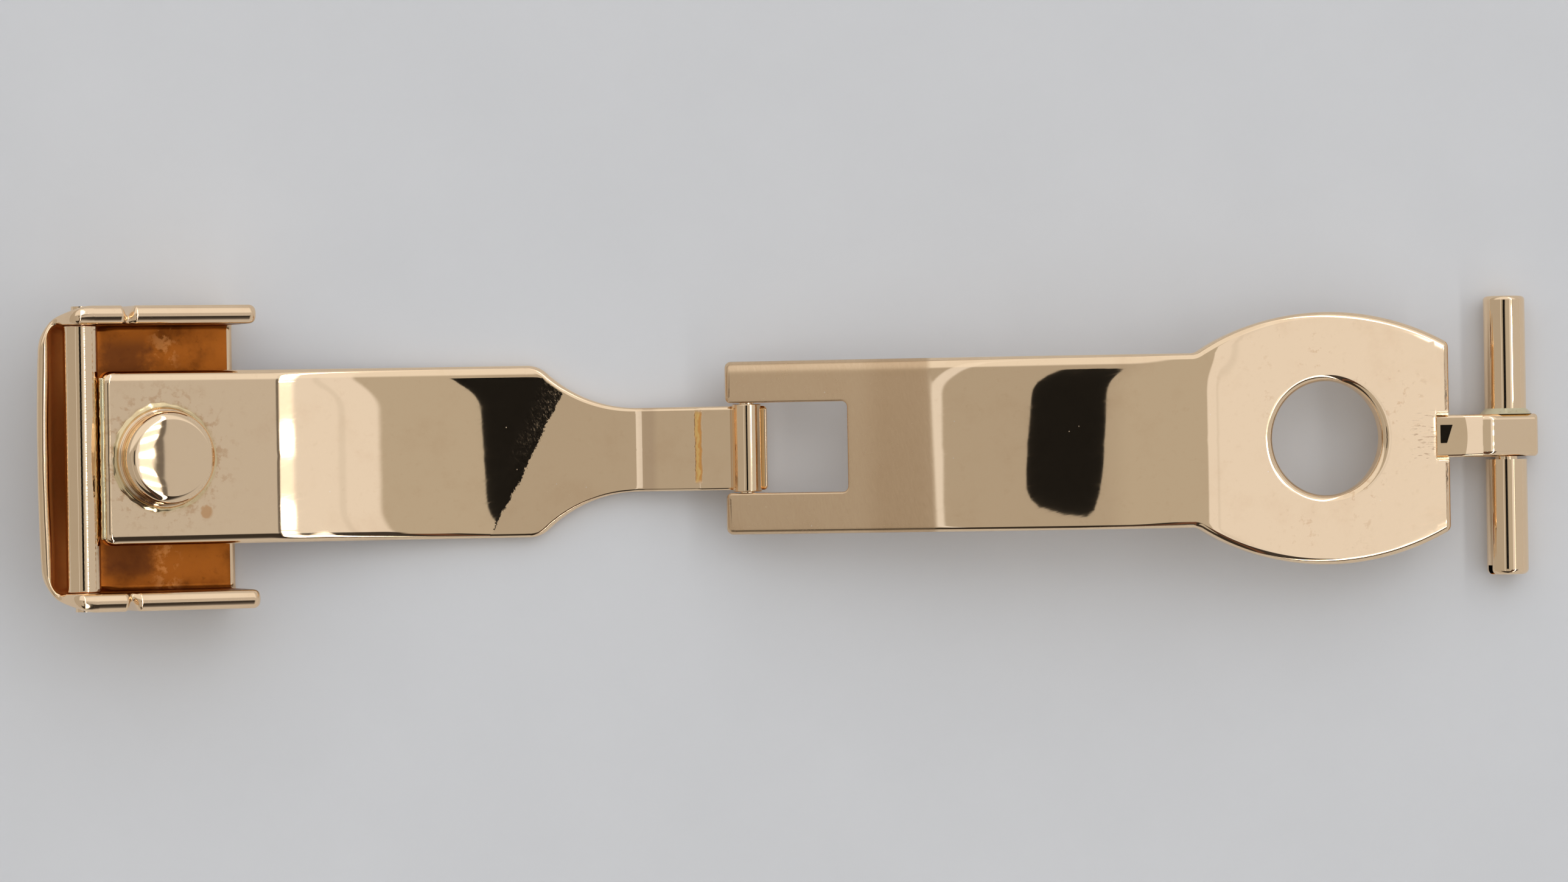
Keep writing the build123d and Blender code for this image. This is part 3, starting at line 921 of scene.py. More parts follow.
    def fork_satin(self, coat: Coat) -> None:
        """Brushing of the fork: leaning strokes and soft swirls, ending at a slanting line, under a painted
        shade that is deepest in a band across the fork.

        Args:
            coat: the rear blade's coat.
        """
        x, y = coat.x, coat.y
        satin = (x + y * 0.03).step(*self.by_hinge(self.fork_line))
        brush = coat.grain(x * 2.6 + y * 0.6, y * 0.45 - x * 0.1, 0.22, 4.0, 0.65)
        swirl = coat.noise(0.9, 4.0, 0.7)
        shade = coat.strip(self.hinge + self.fork_shade, 2.6, 0.8) * 0.22 + 0.45
        coat.roughness = coat.roughness + satin * (0.15 + brush * 0.09 + swirl * 0.05)
        # Painted shade over the brushed part, deepest round fork_shade and streaked by the strokes.
        coat.tint(satin * (shade + brush * 0.3 - 0.12), (0.58, 0.38, 0.21))
        coat.height = coat.height + satin * (brush * 0.0003 + swirl * 0.0006)

    @staticmethod
    def lug_gold(tongue: float) -> Material:
        """Lug's gold, hollow on the tongue, where it mirrors the dark round the lens.

        Args:
            tongue: place of the tongue's left end along the clasp.

        Returns:
            The material.
        """
        coat = Coat("lug_gold", Finish.DOME)
        y, run = coat.y, coat.x - tongue
        side = run - y * 0.32
        dip = run.step(0.10, 0.16) * side.step(0.66, 0.58) * y.step(-0.52, -0.30) * y.step(0.64, 0.58)
        soft = (run + y * y * 0.12).step(1.35, 1.65) * run.step(2.85, 2.25) * 0.125
        coat.lean(soft - dip * 0.13, y * 0.05)
        return coat.finish()

    def cover_inside(self) -> Material:
        """Inside of the cover: dull and orange, with painted shadow under the plate's sides, painted shade
        on the floor past the tube, a painted glint and a painted glow on the wall left of the tube.

        Returns:
            The material.
        """
        coat = Coat("cover_inside", Finish.INNER)
        x, y, tube = coat.x, coat.y, self.tube
        clouds = coat.noise(0.7, 4.0, 0.65)
        away = (x - (tube + self.plate_shadow_middle)).absolute() + (clouds - 0.5) * 2.0
        plate_shadow = away.step(1.9, 0.7) * (y.absolute() - 5.2).absolute().step(1.6, 0.5)
        behind = x.step(*self.by_tube(self.wall_glow))
        # Painted shade on the floor past the tube.
        coat.tint(x.step(*self.by_tube(self.floor_shade)) * 0.30, (0.02, 0.008, 0.001))
        # Painted shadow on the floor under the plate's sides.
        coat.tint(plate_shadow * 0.75, (0.10, 0.03, 0.01))
        # Painted glint streak across the floor.
        glint = coat.strip(tube + self.floor_glint, 1.0, 0.1) * clouds.step(0.5, 0.62)
        coat.tint(glint * 0.45, (0.70, 0.30, 0.09))
        # Painted glow on the wall left of the tube, lifting it out of the tube's dark reflection.
        coat.tint(behind * 0.7, (0.98, 0.42, 0.11))
        coat.height = coat.height + clouds * 0.01
        coat.roughness = coat.roughness + clouds * 0.08 + behind * 0.28
        return coat.finish()


@dataclass
class Blade:
    """Sizes that both blades share."""

    flat_run: float = 9.3
    arc_radius: float = 39.0
    arc_angle: float = 22.2
    bend_radius: float = 12.0
    bend_angle: float = 4.8
    fold_gap: float = 0.1
    sheet: float = 1.1
    width: float = 9.15
    fork_thickness: float = 1.5
    front_end: float = 34.65
    stud_inset: float = 3.25
    edge: float = 0.33

    @property
    def half(self) -> float:
        """Half the width."""
        return self.width / 2

    @property
    def stud_place(self) -> float:
        """Run from the hinge to the stud."""
        return self.front_end - self.stud_inset

    def depth(self, run: Array) -> Array:
        """Thickness along the run."""
        return np.full(run.shape, self.sheet)

    def plate_start(self, change: float) -> float:
        """Run from the hinge to the plate, where the arcs' radii differ by a change.

        Args:
            change: change of the radii from the front blade's.

        Returns:
            The run.
        """
        long_arc = (self.arc_radius + change) * math.radians(self.arc_angle)
        short_arc = (self.bend_radius + change) * math.radians(self.bend_angle)
        return self.flat_run + long_arc + short_arc

    def arcs(self, line: Route, curve: int, change: float) -> Route:
        """Adds the long arc and the bend to a side line."""
        line.arc(self.arc_radius + change, curve * self.arc_angle)
        return line.arc(self.bend_radius + change, curve * self.bend_angle)


@dataclass
class Sheet:
    """A bent sheet: its side line, where it stands, and its thickness along the run."""

    line: Route
    start: float
    origin: Array
    lean: float
    side: Side
    thickness: Callable[[Array], Array]

    def axes(self) -> tuple[Array, Array]:
        """Unit vectors outwards along the flat and up out of its top face.

        Returns:
            The two vectors.
        """
        angle = math.radians(self.lean)
        out = np.array([math.cos(angle) * self.side.value, 0.0, math.sin(angle)])
        up = np.array([-math.sin(angle) * self.side.value, 0.0, math.cos(angle)])
        return out, up

    def place(self, grid: Array) -> Array:
        """Points of run, width and depth under the top face, put in the clasp's frame.

        The run is measured along the side line, and the depth square to it.

        Args:
            grid: points of run, width and depth.

        Returns:
            Points of the same shape.
        """
        out, up = self.axes()
        on_line, normal = self.line.walk(grid[..., 0] - self.start)
        flat = on_line - normal * grid[..., 2:3]
        placed = self.origin + flat[..., :1] * out + flat[..., 1:] * up
        placed[..., 1] += grid[..., 1]
        return placed

    def stand(self, run: float) -> tuple[Array, Array, Array]:
        """Point of the top face on the middle line, the run's direction there and the normal."""
        seat, ahead, under = self.place(np.array([[run, 0, 0], [run + 0.01, 0, 0], [run, 0, 1.0]]))
        return seat, unit(ahead - seat), unit(seat - under)

    def faces(self, skin: Skin, patch: Array) -> None:
        """Adds a patch of run and width as the top face and as the face below it.

        Args:
            skin: patches of the piece.
            patch: points of run and width.
        """
        depth = self.thickness(patch[..., 0])
        top = np.concatenate([patch, np.zeros_like(patch[..., :1])], -1)
        low = np.concatenate([patch, depth[..., None]], -1)
        skin.add(self.place(top), mirror=True)
        skin.add(self.place(low), mirror=True)

    def rim(self, skin: Skin, trace: Trace, spans: int = 6) -> None:
        """Adds the rounded rim along an outline."""
        band = edge_band(trace, self.thickness(trace.points[:, 0]), spans)
        skin.add(self.place(band), mirror=True)


@dataclass
class FrontBlade(Blade):
    """Front blade: raised neck, flared shoulders, long curve and stud plate."""

    lean: float = -3.0
    neck_width: float = 4.45
    neck_lip: float = 1.06
    rise_end: float = 2.55
    rise_start: float = 5.86
    neck_run: float = 5.85
    flare_radius: float = 7.0
    shoulder_round: float = 1.5
    corner_round: float = 0.5
    crest_round: float = 1.0
    hollow_round: float = 0.7
    facet: float = 0.5
    neck_edge: float = 0.2
    rows: int = 14
    neck_spans: int = 120
    body_spans: int = 120
    flare_spans: int = 24
    shoulder_spans: int = 16

    @property
    def top(self) -> float:
        """Level of the blade's top face over the hinge axis."""
        return -(self.fork_thickness / 2 + self.fold_gap)

    def sheet_form(self) -> Sheet:
        """Side line and place of the blade.

        Returns:
            The sheet.
        """
        run = self.rise_start - self.rise_end
        climb, slope = math.atan2(-self.top, run), math.hypot(-self.top, run)
        crest = self.crest_round * math.tan(climb / 2)
        hollow = self.hollow_round * math.tan(climb / 2) + self.facet / 2
        turn = math.degrees(climb)
        line = Route((-self.neck_lip, 0.0), 0.0)
        line.until(0, self.rise_end - crest).arc(self.crest_round, -turn)
        line.straight(slope - crest - hollow).arc(self.hollow_round, turn / 2)
        line.straight(self.facet).arc(self.hollow_round, turn / 2)
        walked = sum(leg.length for leg in line.legs)
        start = line.point[0] - walked
        line.until(0, self.flat_run)
        self.arcs(line, 1, 0.0)
        line.straight(self.front_end - self.plate_start(0.0))
        return Sheet(line, start, joint_place("main_fold"), self.lean, Side.LEFT, self.depth)

    def outline(self, start: float) -> Route:
        """Half outline from the middle of the neck's end to the middle of the plate's end.

        Args:
            start: run of the neck's end.

        Returns:
            The outline of run and width.
        """
        level = self.neck_width / 2 + self.flare_radius
        reach = self.flare_radius + self.shoulder_round
        angle = math.degrees(math.acos((level - self.half + self.shoulder_round) / reach))
        line = Route((start, 0.0), 90.0)
        line.edge = self.neck_edge / 2
        line.until(1, self.neck_width / 2 - self.neck_edge, self.rows)
        line.arc(self.neck_edge, -90.0, 5, self.neck_edge)
        line.until(0, self.neck_run, self.neck_spans)
        line.arc(self.flare_radius, angle, self.flare_spans, self.edge)
        line.arc(self.shoulder_round, -angle, self.shoulder_spans)
        line.until(0, self.front_end - self.corner_round, self.body_spans)
        line.arc(self.corner_round, -90.0, 8)
        return line.until(1, 0.0, self.rows)

    def build(self, finish: Material) -> Piece:
        """Top and bottom faces ruled from the middle line to the outline, and the rim.

        Args:
            finish: its material.

        Returns:
            The piece.
        """
        form, skin = self.sheet_form(), Skin()
        line = self.outline(form.start)
        side = line.sample(1, -1).inset()
        form.faces(skin, ruled(on_middle(side), side, self.rows))
        form.rim(skin, line.sample())
        return skin.build("front_blade_gold", [finish])


@dataclass
class RearBlade(Blade):
    """Rear blade: fork, long curve and oval plate with its hole and a notch for the lug."""

    # First and last numbers of the outline's legs that bound each patch, as outline() adds them.
    EAR_INSIDE, EAR_OUTSIDE, BODY, OVAL, HORN, NOTCH = (1, 4), (5, 8), (8, 11), (11, 12), (12, 14), (15, 18)

    lean: float = 13.9
    fork_overhang: float = 1.04
    thinning_start: float = 6.4
    thinning_end: float = 8.1
    slot_reach: float = 5.63
    slot_width: float = 4.77
    slot_corner: float = 0.3
    oval_width: float = 13.3
    oval_radius: float = 14.0
    oval_middle: float = 6.1
    oval_reach: float = 6.75
    waist_round: float = 0.8
    hole_radius: float = 3.0
    hole_edge: float = 0.38
    notch_width: float = 2.45
    notch_depth: float = 0.8
    slot_edge: float = 0.12
    notch_edge: float = 0.07
    notch_corner: float = 0.14
    end_corner: float = 0.4
    hole_margin: float = 1.5
    ear_rows: int = 8
    body_rows: int = 8
    ring_rows: int = 12
    ear_spans: int = 30
    body_spans: int = 100
    oval_spans: int = 60
    corner_spans: int = 6

    @property
    def plate_run(self) -> float:
        """Run where the oval plate starts."""
        return self.plate_start(-self.fold_gap)

    @property
    def hole_run(self) -> float:
        """Run of the hole's centre."""
        return self.plate_run + self.stud_place - self.plate_start(0.0)

    @property
    def end_run(self) -> float:
        """Run of the plate's right end."""
        return self.stud_place + self.oval_reach

    def depth(self, run: Array) -> Array:
        """Thickness along the run: thick at the fork, thinning to the sheet."""
        share = np.clip((run - self.thinning_start) / (self.thinning_end - self.thinning_start), 0, 1)
        return self.fork_thickness + (self.sheet - self.fork_thickness) * share

    def sheet_form(self) -> Sheet:
        """Side line and place of the blade.

        Returns:
            The sheet.
        """
        line = Route((-self.fork_overhang, self.fork_thickness / 2), 0.0)
        line.until(0, self.flat_run)
        self.arcs(line, -1, -self.fold_gap)
        line.straight(self.end_run - self.plate_run)
        hinge = joint_place("main_fold")
        return Sheet(line, -self.fork_overhang, hinge, self.lean, Side.RIGHT, self.depth)

    def oval_heading(self, run: float, inset: float) -> float:
        """Heading of the oval side where its inset line passes a run."""
        centre = self.plate_run + self.oval_middle
        return math.degrees(math.asin((centre - run) / (self.oval_radius - inset)))

    def outline(self) -> Route:
        """Half outline from the slot's end round the ear and the oval to the notch.

        Returns:
            The outline of run and width.
        """
        centre = self.plate_run + self.oval_middle
        level = self.oval_width / 2 - self.oval_radius
        high = self.half + self.waist_round - level
        waist_turn = math.degrees(math.acos(high / (self.oval_radius + self.waist_round)))
        waist = centre - (self.oval_radius + self.waist_round) * math.sin(math.radians(waist_turn))
        notch_run = self.end_run - self.notch_depth
        ring_start = self.oval_heading(self.hole_run - self.hole_radius - self.hole_margin, self.edge)
        ring_end = self.oval_heading(notch_run - self.notch_edge, self.edge)
        last = self.oval_heading(self.end_run, 0.0)
        trim = math.degrees(self.end_corner * math.tan(math.radians(90.0 + last) / 2) / self.oval_radius)
        line = Route((self.slot_reach, 0.0), 90.0)
        line.edge = self.slot_edge
        line.until(1, self.slot_width / 2 - self.slot_corner, self.body_rows)
        line.arc(self.slot_corner, 90.0, self.corner_spans)
        line.until(0, -self.fork_overhang + self.edge, self.ear_spans)
        line.arc(self.edge, -90.0, self.corner_spans, self.edge)
        line.until(1, self.half - self.edge, self.ear_rows, self.edge)
        line.arc(self.edge, -90.0, self.corner_spans, self.edge)
        line.until(0, self.slot_reach - self.slot_corner, self.ear_spans)
        line.until(0, self.slot_reach + self.slot_edge, self.corner_spans)
        line.until(0, waist, self.body_spans)
        line.arc(self.waist_round, waist_turn, 10)
        line.arc(self.oval_radius, ring_start - waist_turn, 16)
        line.arc(self.oval_radius, ring_end - ring_start, self.oval_spans)
        line.arc(self.oval_radius, last + trim - ring_end, 6)
        line.arc(self.end_corner, -90.0 - (last + trim), 8)
        line.until(1, self.notch_width / 2 + self.notch_corner, self.ear_rows)
        line.arc(self.notch_corner, -90.0, 4, self.notch_edge)
        line.until(0, notch_run + self.notch_corner, 6)
        line.arc(self.notch_corner, 90.0, 4)
        return line.until(1, 0.0, self.body_rows)

    @staticmethod
    def by_way_of(first: Array, turning: Array, last: Array, before: int, after: int) -> Array:
        """Points on two straight runs that meet in a turning point, with the spans of each."""
        return np.concatenate([ruled(first, turning, before)[0], ruled(turning, last, after)[0][1:]])

    def build(self, finish: Material) -> Piece:
        """Ear, body, ring round the hole and horn beside the notch, all ruled, and the rims.

        Args:
            finish: its material.

        Returns:
            The piece.
        """
        form, line, skin = self.sheet_form(), self.outline(), Skin()
        inner = line.sample(*self.EAR_INSIDE).flipped().inset()
        form.faces(skin, ruled(inner, line.sample(*self.EAR_OUTSIDE).inset(), self.ear_rows))
        side = line.sample(*self.BODY).inset()
        share = smooth_step(side[:, 0], side[0, 0], side[-1, 0])
        seam = np.stack([side[:, 0], inner[-1, 1] + share * (self.hole_radius - inner[-1, 1])], -1)
        middle = on_middle(side)
        form.faces(skin, ruled(middle, seam, self.body_rows))
        form.faces(skin, ruled(seam, side, self.ear_rows))
        oval = line.sample(*self.OVAL).inset()
        notch = line.sample(*self.NOTCH).flipped().inset()
        foot = on_middle(notch[:1])
        left = self.by_way_of(middle[-1:], seam[-1:], side[-1:], self.body_rows, self.ear_rows)
        right = self.by_way_of(oval[-1:], notch[:1], foot, self.ear_rows, self.body_rows)
        chain = np.concatenate([left, oval[1:], right[1:]])
        centre = np.array([self.hole_run, 0.0])
        spoke = unit(chain - centre)
        circle = centre + spoke * (self.hole_radius + self.hole_edge)
        form.faces(skin, ruled(circle, chain, self.ring_rows))
        form.faces(skin, ruled(notch, line.sample(*self.HORN).inset(), self.ear_rows))
        form.rim(skin, line.sample())
        edges = np.full(len(spoke), self.hole_edge)
        form.rim(skin, Trace(centre + spoke * self.hole_radius, -spoke, edges))
        return skin.build("rear_blade_gold", [finish])


@dataclass
class Rim:
    """Upper edge of the cover's wall: plan curves of its two faces, its level and share of end wall."""

    outer: Array
    inner: Array
    level: Array
    share: Array


@dataclass
class Cover:
    """Strap cover: a tray with two rails, open to the right, its end wall upright.

    Reach runs along the cover to the right and level out of its channel, both from the cross
    tube's axis. A level or a reach called low belongs to the floor, and inner to the inside.
    """

    width: float = 16.0
    wall: float = 1.0
    floor: float = 0.85
    tube_drop: float = 0.95
    channel_depth: float = 3.62
    rail_height: float = 0.4
    rail_reach: float = 8.96
    rail_start: float = 0.5
    end_wall: float = 0.55
    end_place: float = 1.95
    rim_drop: float = 0.45
    rim_reach: float = 1.4
    curl_radius: float = 3.0
    inner_curl: float = 2.2
    corner: float = 2.3
    inner_corner: float = 0.35
    low_corner: float = 1.1
    inner_low_corner: float = 0.9
    low_edge: float = 0.45
    inner_low_edge: float = 0.3
    rim_round: float = 0.34
    nose: float = 0.4
    nose_share: float = 0.46
    groove_place: float = 2.32
    groove_half: float = 0.40
    groove_depth: float = 0.5
    groove_sink: float = 0.30
    bow: float = 0.25
    tilt: float = 24.0
    bend_lead: float = 1.6
    end_lead: float = 0.6
    rail_spans: int = 90
    bend_spans: int = 70
    end_spans: int = 16
    wall_spans: int = 20

    def __post_init__(self) -> None:
        """Works out the end wall's heading, the levels over the tube's axis and the reaches."""
        self.half: float = self.width / 2
        self.turn: float = 90.0 - self.tilt
        self.rail_level: float = self.tube_drop + self.rail_height
        self.rim_level: float = -self.rim_drop
        self.channel: float = self.tube_drop - self.channel_depth
        self.base: float = self.channel - self.floor
        self.outer_reach: float = self.upright(self.rim_level, self.end_place)
        self.inner_reach: float = self.upright(self.rim_level, self.end_place - self.end_wall)
        outer_height, inner_height = self.rim_level - self.base, self.rim_level - self.channel
        self.outer_low: float = self.floor_reach(self.outer_reach, self.curl_radius, outer_height)
        self.inner_low: float = self.floor_reach(self.inner_reach, self.inner_curl, inner_height)

    def put(self, grid: Array) -> Array:
        """Points of reach, width and level about the cross tube, put in the clasp's frame.

        Args:
            grid: points of reach, width and level.

        Returns:
            Points of the same shape.
        """
        angle = math.radians(self.tilt)
        along = np.array([math.cos(angle), 0.0, -math.sin(angle)])
        up = np.array([math.sin(angle), 0.0, math.cos(angle)])
        placed = joint_place("cover_swing") + grid[..., :1] * along + grid[..., 2:] * up
        placed[..., 1] += grid[..., 1]
        return placed

    def upright(self, level: float, place: float) -> float:
        """Reach along the cover of an upright wall's point at one level."""
        angle = math.radians(self.tilt)
        return (-place - level * math.sin(angle)) / math.cos(angle)

    def floor_reach(self, rim_reach: float, radius: float, height: float) -> float:
        """Reach where the end wall's curl leaves the floor.

        Args:
            rim_reach: reach of the wall at the rim.
            radius: radius of the curl.
            height: height of the wall.

        Returns:
            The reach.
        """
        angle = math.radians(self.turn)
        arc_up = radius * (1 - math.cos(angle))
        return rim_reach + radius * math.sin(angle) + (height - arc_up) / math.tan(angle)

    @staticmethod
    def climb(radius: float, turn: float, height: float, rise: Array) -> tuple[Array, Array]:
        """Unit profile of a wall: an arc out of the floor, then straight up at the turn's angle.

        Args:
            radius: radius of the arc.
            turn: heading of the wall in degrees.
            height: height of the wall over the floor.
            rise: shares of the profile, of which the first half is the arc.

        Returns:
            Shares of the way out and of the way up.
        """
        angle = math.radians(turn)
        arc_out, arc_up = radius * math.sin(angle), radius * (1 - math.cos(angle))
        swing = np.clip(rise * 2, 0, 1) * angle
        run = np.clip(rise * 2 - 1, 0, 1)
        slant = (height - arc_up) / math.tan(angle) if turn < 90 else 0.0
        out = radius * np.sin(swing) + slant * run
        up = radius * (1 - np.cos(swing)) + (height - arc_up) * run
        return out / (arc_out + slant), up / height

    def plan(self, reach: float, width: float, corner: float) -> Array:
        """Plan curve: straight rail, rounded corner and end wall.

        Args:
            reach: reach of the end wall.
            width: place of the rail across the clasp.
            corner: radius of the corner between them.

        Returns:
            As many points for every curve, so that two of them can be joined.
        """
        lead, tail = 44, 6
        bend_start = self.outer_low + self.bend_lead
        rail = np.linspace(self.rail_reach, bend_start, self.rail_spans + 1)
        straight = np.stack([rail, np.full(rail.shape, width)], -1)
        bend = Route((bend_start, width), 180.0)
        shared = max(reach + corner, self.outer_reach + self.corner)
        extra = 8 if shared > reach + corner + WELD else 0
        bend.until(0, shared, lead)
        if extra:
            bend.until(0, reach + corner, extra)
        bend.arc(corner, 90.0, self.bend_spans - lead - tail - extra)
        bend.until(1, width - self.corner - self.end_lead, tail)
        bent = bend.sample().points[1:]
        last = np.linspace(bent[-1, 1], 0.0, self.end_spans + 1)[1:]
        return np.concatenate([straight, bent, np.stack([np.full(last.shape, reach), last], -1)])

    def rim(self) -> Rim:
        """Rim with the groove filed in and the end wall bowed.

        The level falls from the rails' to the end wall's by a smooth step of the reach.

        Returns:
            The rim.
        """
        outer = self.plan(self.outer_reach, self.half, self.corner)
        inner = self.plan(self.inner_reach, self.half - self.wall, self.inner_corner)
        order = np.arange(len(outer)).astype(float)
        share = smooth_step(order, self.rail_spans, self.rail_spans + self.bend_spans)[:, None]
        ramp = smooth_step(outer[:, 0], -self.rim_reach, -self.rail_start)
        level = self.rim_level + (self.rail_level - self.rim_level) * ramp
        notch = np.clip(1 - np.abs(outer[:, 0] - self.groove_place) / self.groove_half, 0, 1)
        notch = smooth_step(np.where(outer[:, 1] > self.half - WELD, notch, 0.0), 0.0, 1.0)
        outer[:, 1] -= self.groove_depth * notch
        bowed = self.bow * (1 - (outer[:, 1] / self.half) ** 2) * share[:, 0]
        outer[:, 0] -= bowed
        inner[:, 0] -= bowed
        return Rim(outer, inner, level - self.groove_sink * notch, share)

    def face(self, rim: Rim, low: Array, top: Array, level: float, arc: float, curl: float) -> Array:
        """Wall face from the floor to the rim's level, blended from rail to end wall.

        Args:
            rim: the wall's rim.
            low: plan curve where the face leaves the floor.
            top: plan curve at the rim.
            level: level of the floor.
            arc: radius between the floor and the rails.
            curl: radius between the floor and the end wall.

        Returns:
            Grid of points, from the floor up at every place along the plan.
        """
        rise = np.linspace(0.0, 1.0, self.wall_spans + 1)
        rail_out, rail_up = self.climb(arc, 90.0, self.rail_level - level, rise)
        end_out, end_up = self.climb(curl, self.turn, self.rim_level - level, rise)
        out = rail_out[None, :] * (1 - rim.share) + end_out[None, :] * rim.share
        up = rail_up[None, :] * (1 - rim.share) + end_up[None, :] * rim.share
        flat = low[:, None, :] + (top - low)[:, None, :] * out[..., None]
        height = (rim.level - level)[:, None]
        return np.concatenate([flat, (level + height * up)[..., None]], -1)

    def lip(self, rim: Rim, top: Array, outward: Array, face: Array) -> tuple[Array, Array]:
        """Rounds a face over at the rim.

        Args:
            rim: the wall's rim.
            top: plan curve of the face at the rim.
            outward: unit vectors out of the face.
            face: the wall face.

        Returns:
            The face cut short under the rim, and the rim's quarter circle.
        """
        thick = np.linalg.norm(rim.outer - rim.inner, axis=1)
        radius = np.minimum(self.rim_round, thick * 0.5)[:, None]
        crown = (thick * 0.5)[:, None]
        height = rim.level[:, None]
        drop = radius * (1 - np.sin(QUARTER))[None, :]
        back = crown * (1 - np.cos(QUARTER))[None, :]
        place = top[:, None, :] - outward[:, None, :] * back[..., None]
        arc = np.concatenate([place, (height - drop)[..., None]], -1)
        level = face[:, :1, 2]
        squeeze = (height - radius - level) / (height - level)
        short = face.copy()
        short[..., 2] = level + (face[..., 2] - level) * squeeze
        short[:, -1] = arc[:, 0]
        return short, arc

    def open_end(self, skin: Skin, edge: Array, low: float, inner_low: float) -> None:
        """Adds the right end: the section's outline rounded over to a flat face.

        Args:
            skin: the piece's patches.
            edge: points of the wall's section.
            low: half width of the underside.
            inner_low: half width of the floor's upper face.
        """
        count = self.end_spans

        def across(widths: Array, level: float) -> Array:
            """Points across the clasp at the right end."""
            return np.stack([np.full(count, self.rail_reach), widths, np.full(count, level)], -1)

        below = across(np.linspace(0, low, count + 1)[:-1], self.base)
        above = across(np.linspace(inner_low, 0, count + 1)[1:], self.channel)
        section = np.concatenate([below, edge, above])
        tangent = unit(np.gradient(section[:, 1:], axis=0))
        outward = np.stack([tangent[:, 1], -tangent[:, 0]], -1)
        outward[0] = (0.0, -1.0)
        outward[-1] = (0.0, 1.0)
        small = min(self.nose, self.floor * self.nose_share, self.wall * self.nose_share)
        ring = section[:, None, :].repeat(len(QUARTER), 1)
        ring[..., 0] += small * np.sin(QUARTER)[None, :]
        ring[..., 1:] -= outward[:, None, :] * (small * (1 - np.cos(QUARTER)))[None, :, None]
        skin.add(self.put(ring), mirror=True)
        last = ring[:, -1]
        near = (len(last) + 1) // 2
        skin.add(self.put(ruled(last[:near], last[::-1][:near], 2)), mirror=True)

    def build(self, finish: Material, inside: Material) -> Piece:
        """Wall carried along the plan curve, the floor's two faces and the open right end.

        Args:
            finish: material of the outside.
            inside: material of the inside.

        Returns:
            The piece.
        """
        rim = self.rim()
        inner_width = self.half - self.wall - self.inner_low_edge
        outer_low = self.plan(self.outer_low, self.half - self.low_edge, self.low_corner)
        inner_low = self.plan(self.inner_low, inner_width, self.inner_low_corner)
        outside = self.face(rim, outer_low, rim.outer, self.base, self.low_edge, self.curl_radius)
        within = self.face(rim, inner_low, rim.inner, self.channel, self.inner_low_edge, self.inner_curl)
        across = unit(rim.outer - rim.inner)
        outside, outer_arc = self.lip(rim, rim.outer, across, outside)
        within, inner_arc = self.lip(rim, rim.inner, -across, within)
        chain = np.concatenate(
            [outside, outer_arc[:, 1:], inner_arc[:, ::-1][:, 1:], within[:, ::-1][:, 1:]], 1
        )
        split = outside.shape[1] + 2 * len(QUARTER) - 3
        skin = Skin()
        skin.add(self.put(chain[:, : split + 1]), mirror=True)
        skin.add(self.put(chain[:, split:]), mirror=True, finish=1)
        for number, (low, level) in enumerate(((outer_low, self.base), (inner_low, self.channel))):
            side = low[: self.rail_spans + self.bend_spans + 1]
            patch = ruled(on_middle(side), side, self.end_spans)
            flat = np.concatenate([patch, np.full(patch.shape[:2] + (1,), level)], -1)
            skin.add(self.put(flat), mirror=True, finish=number)
        self.open_end(skin, chain[0], outer_low[0, 1], inner_low[0, 1])
        return skin.build("cover_shell_gold", [finish, inside])


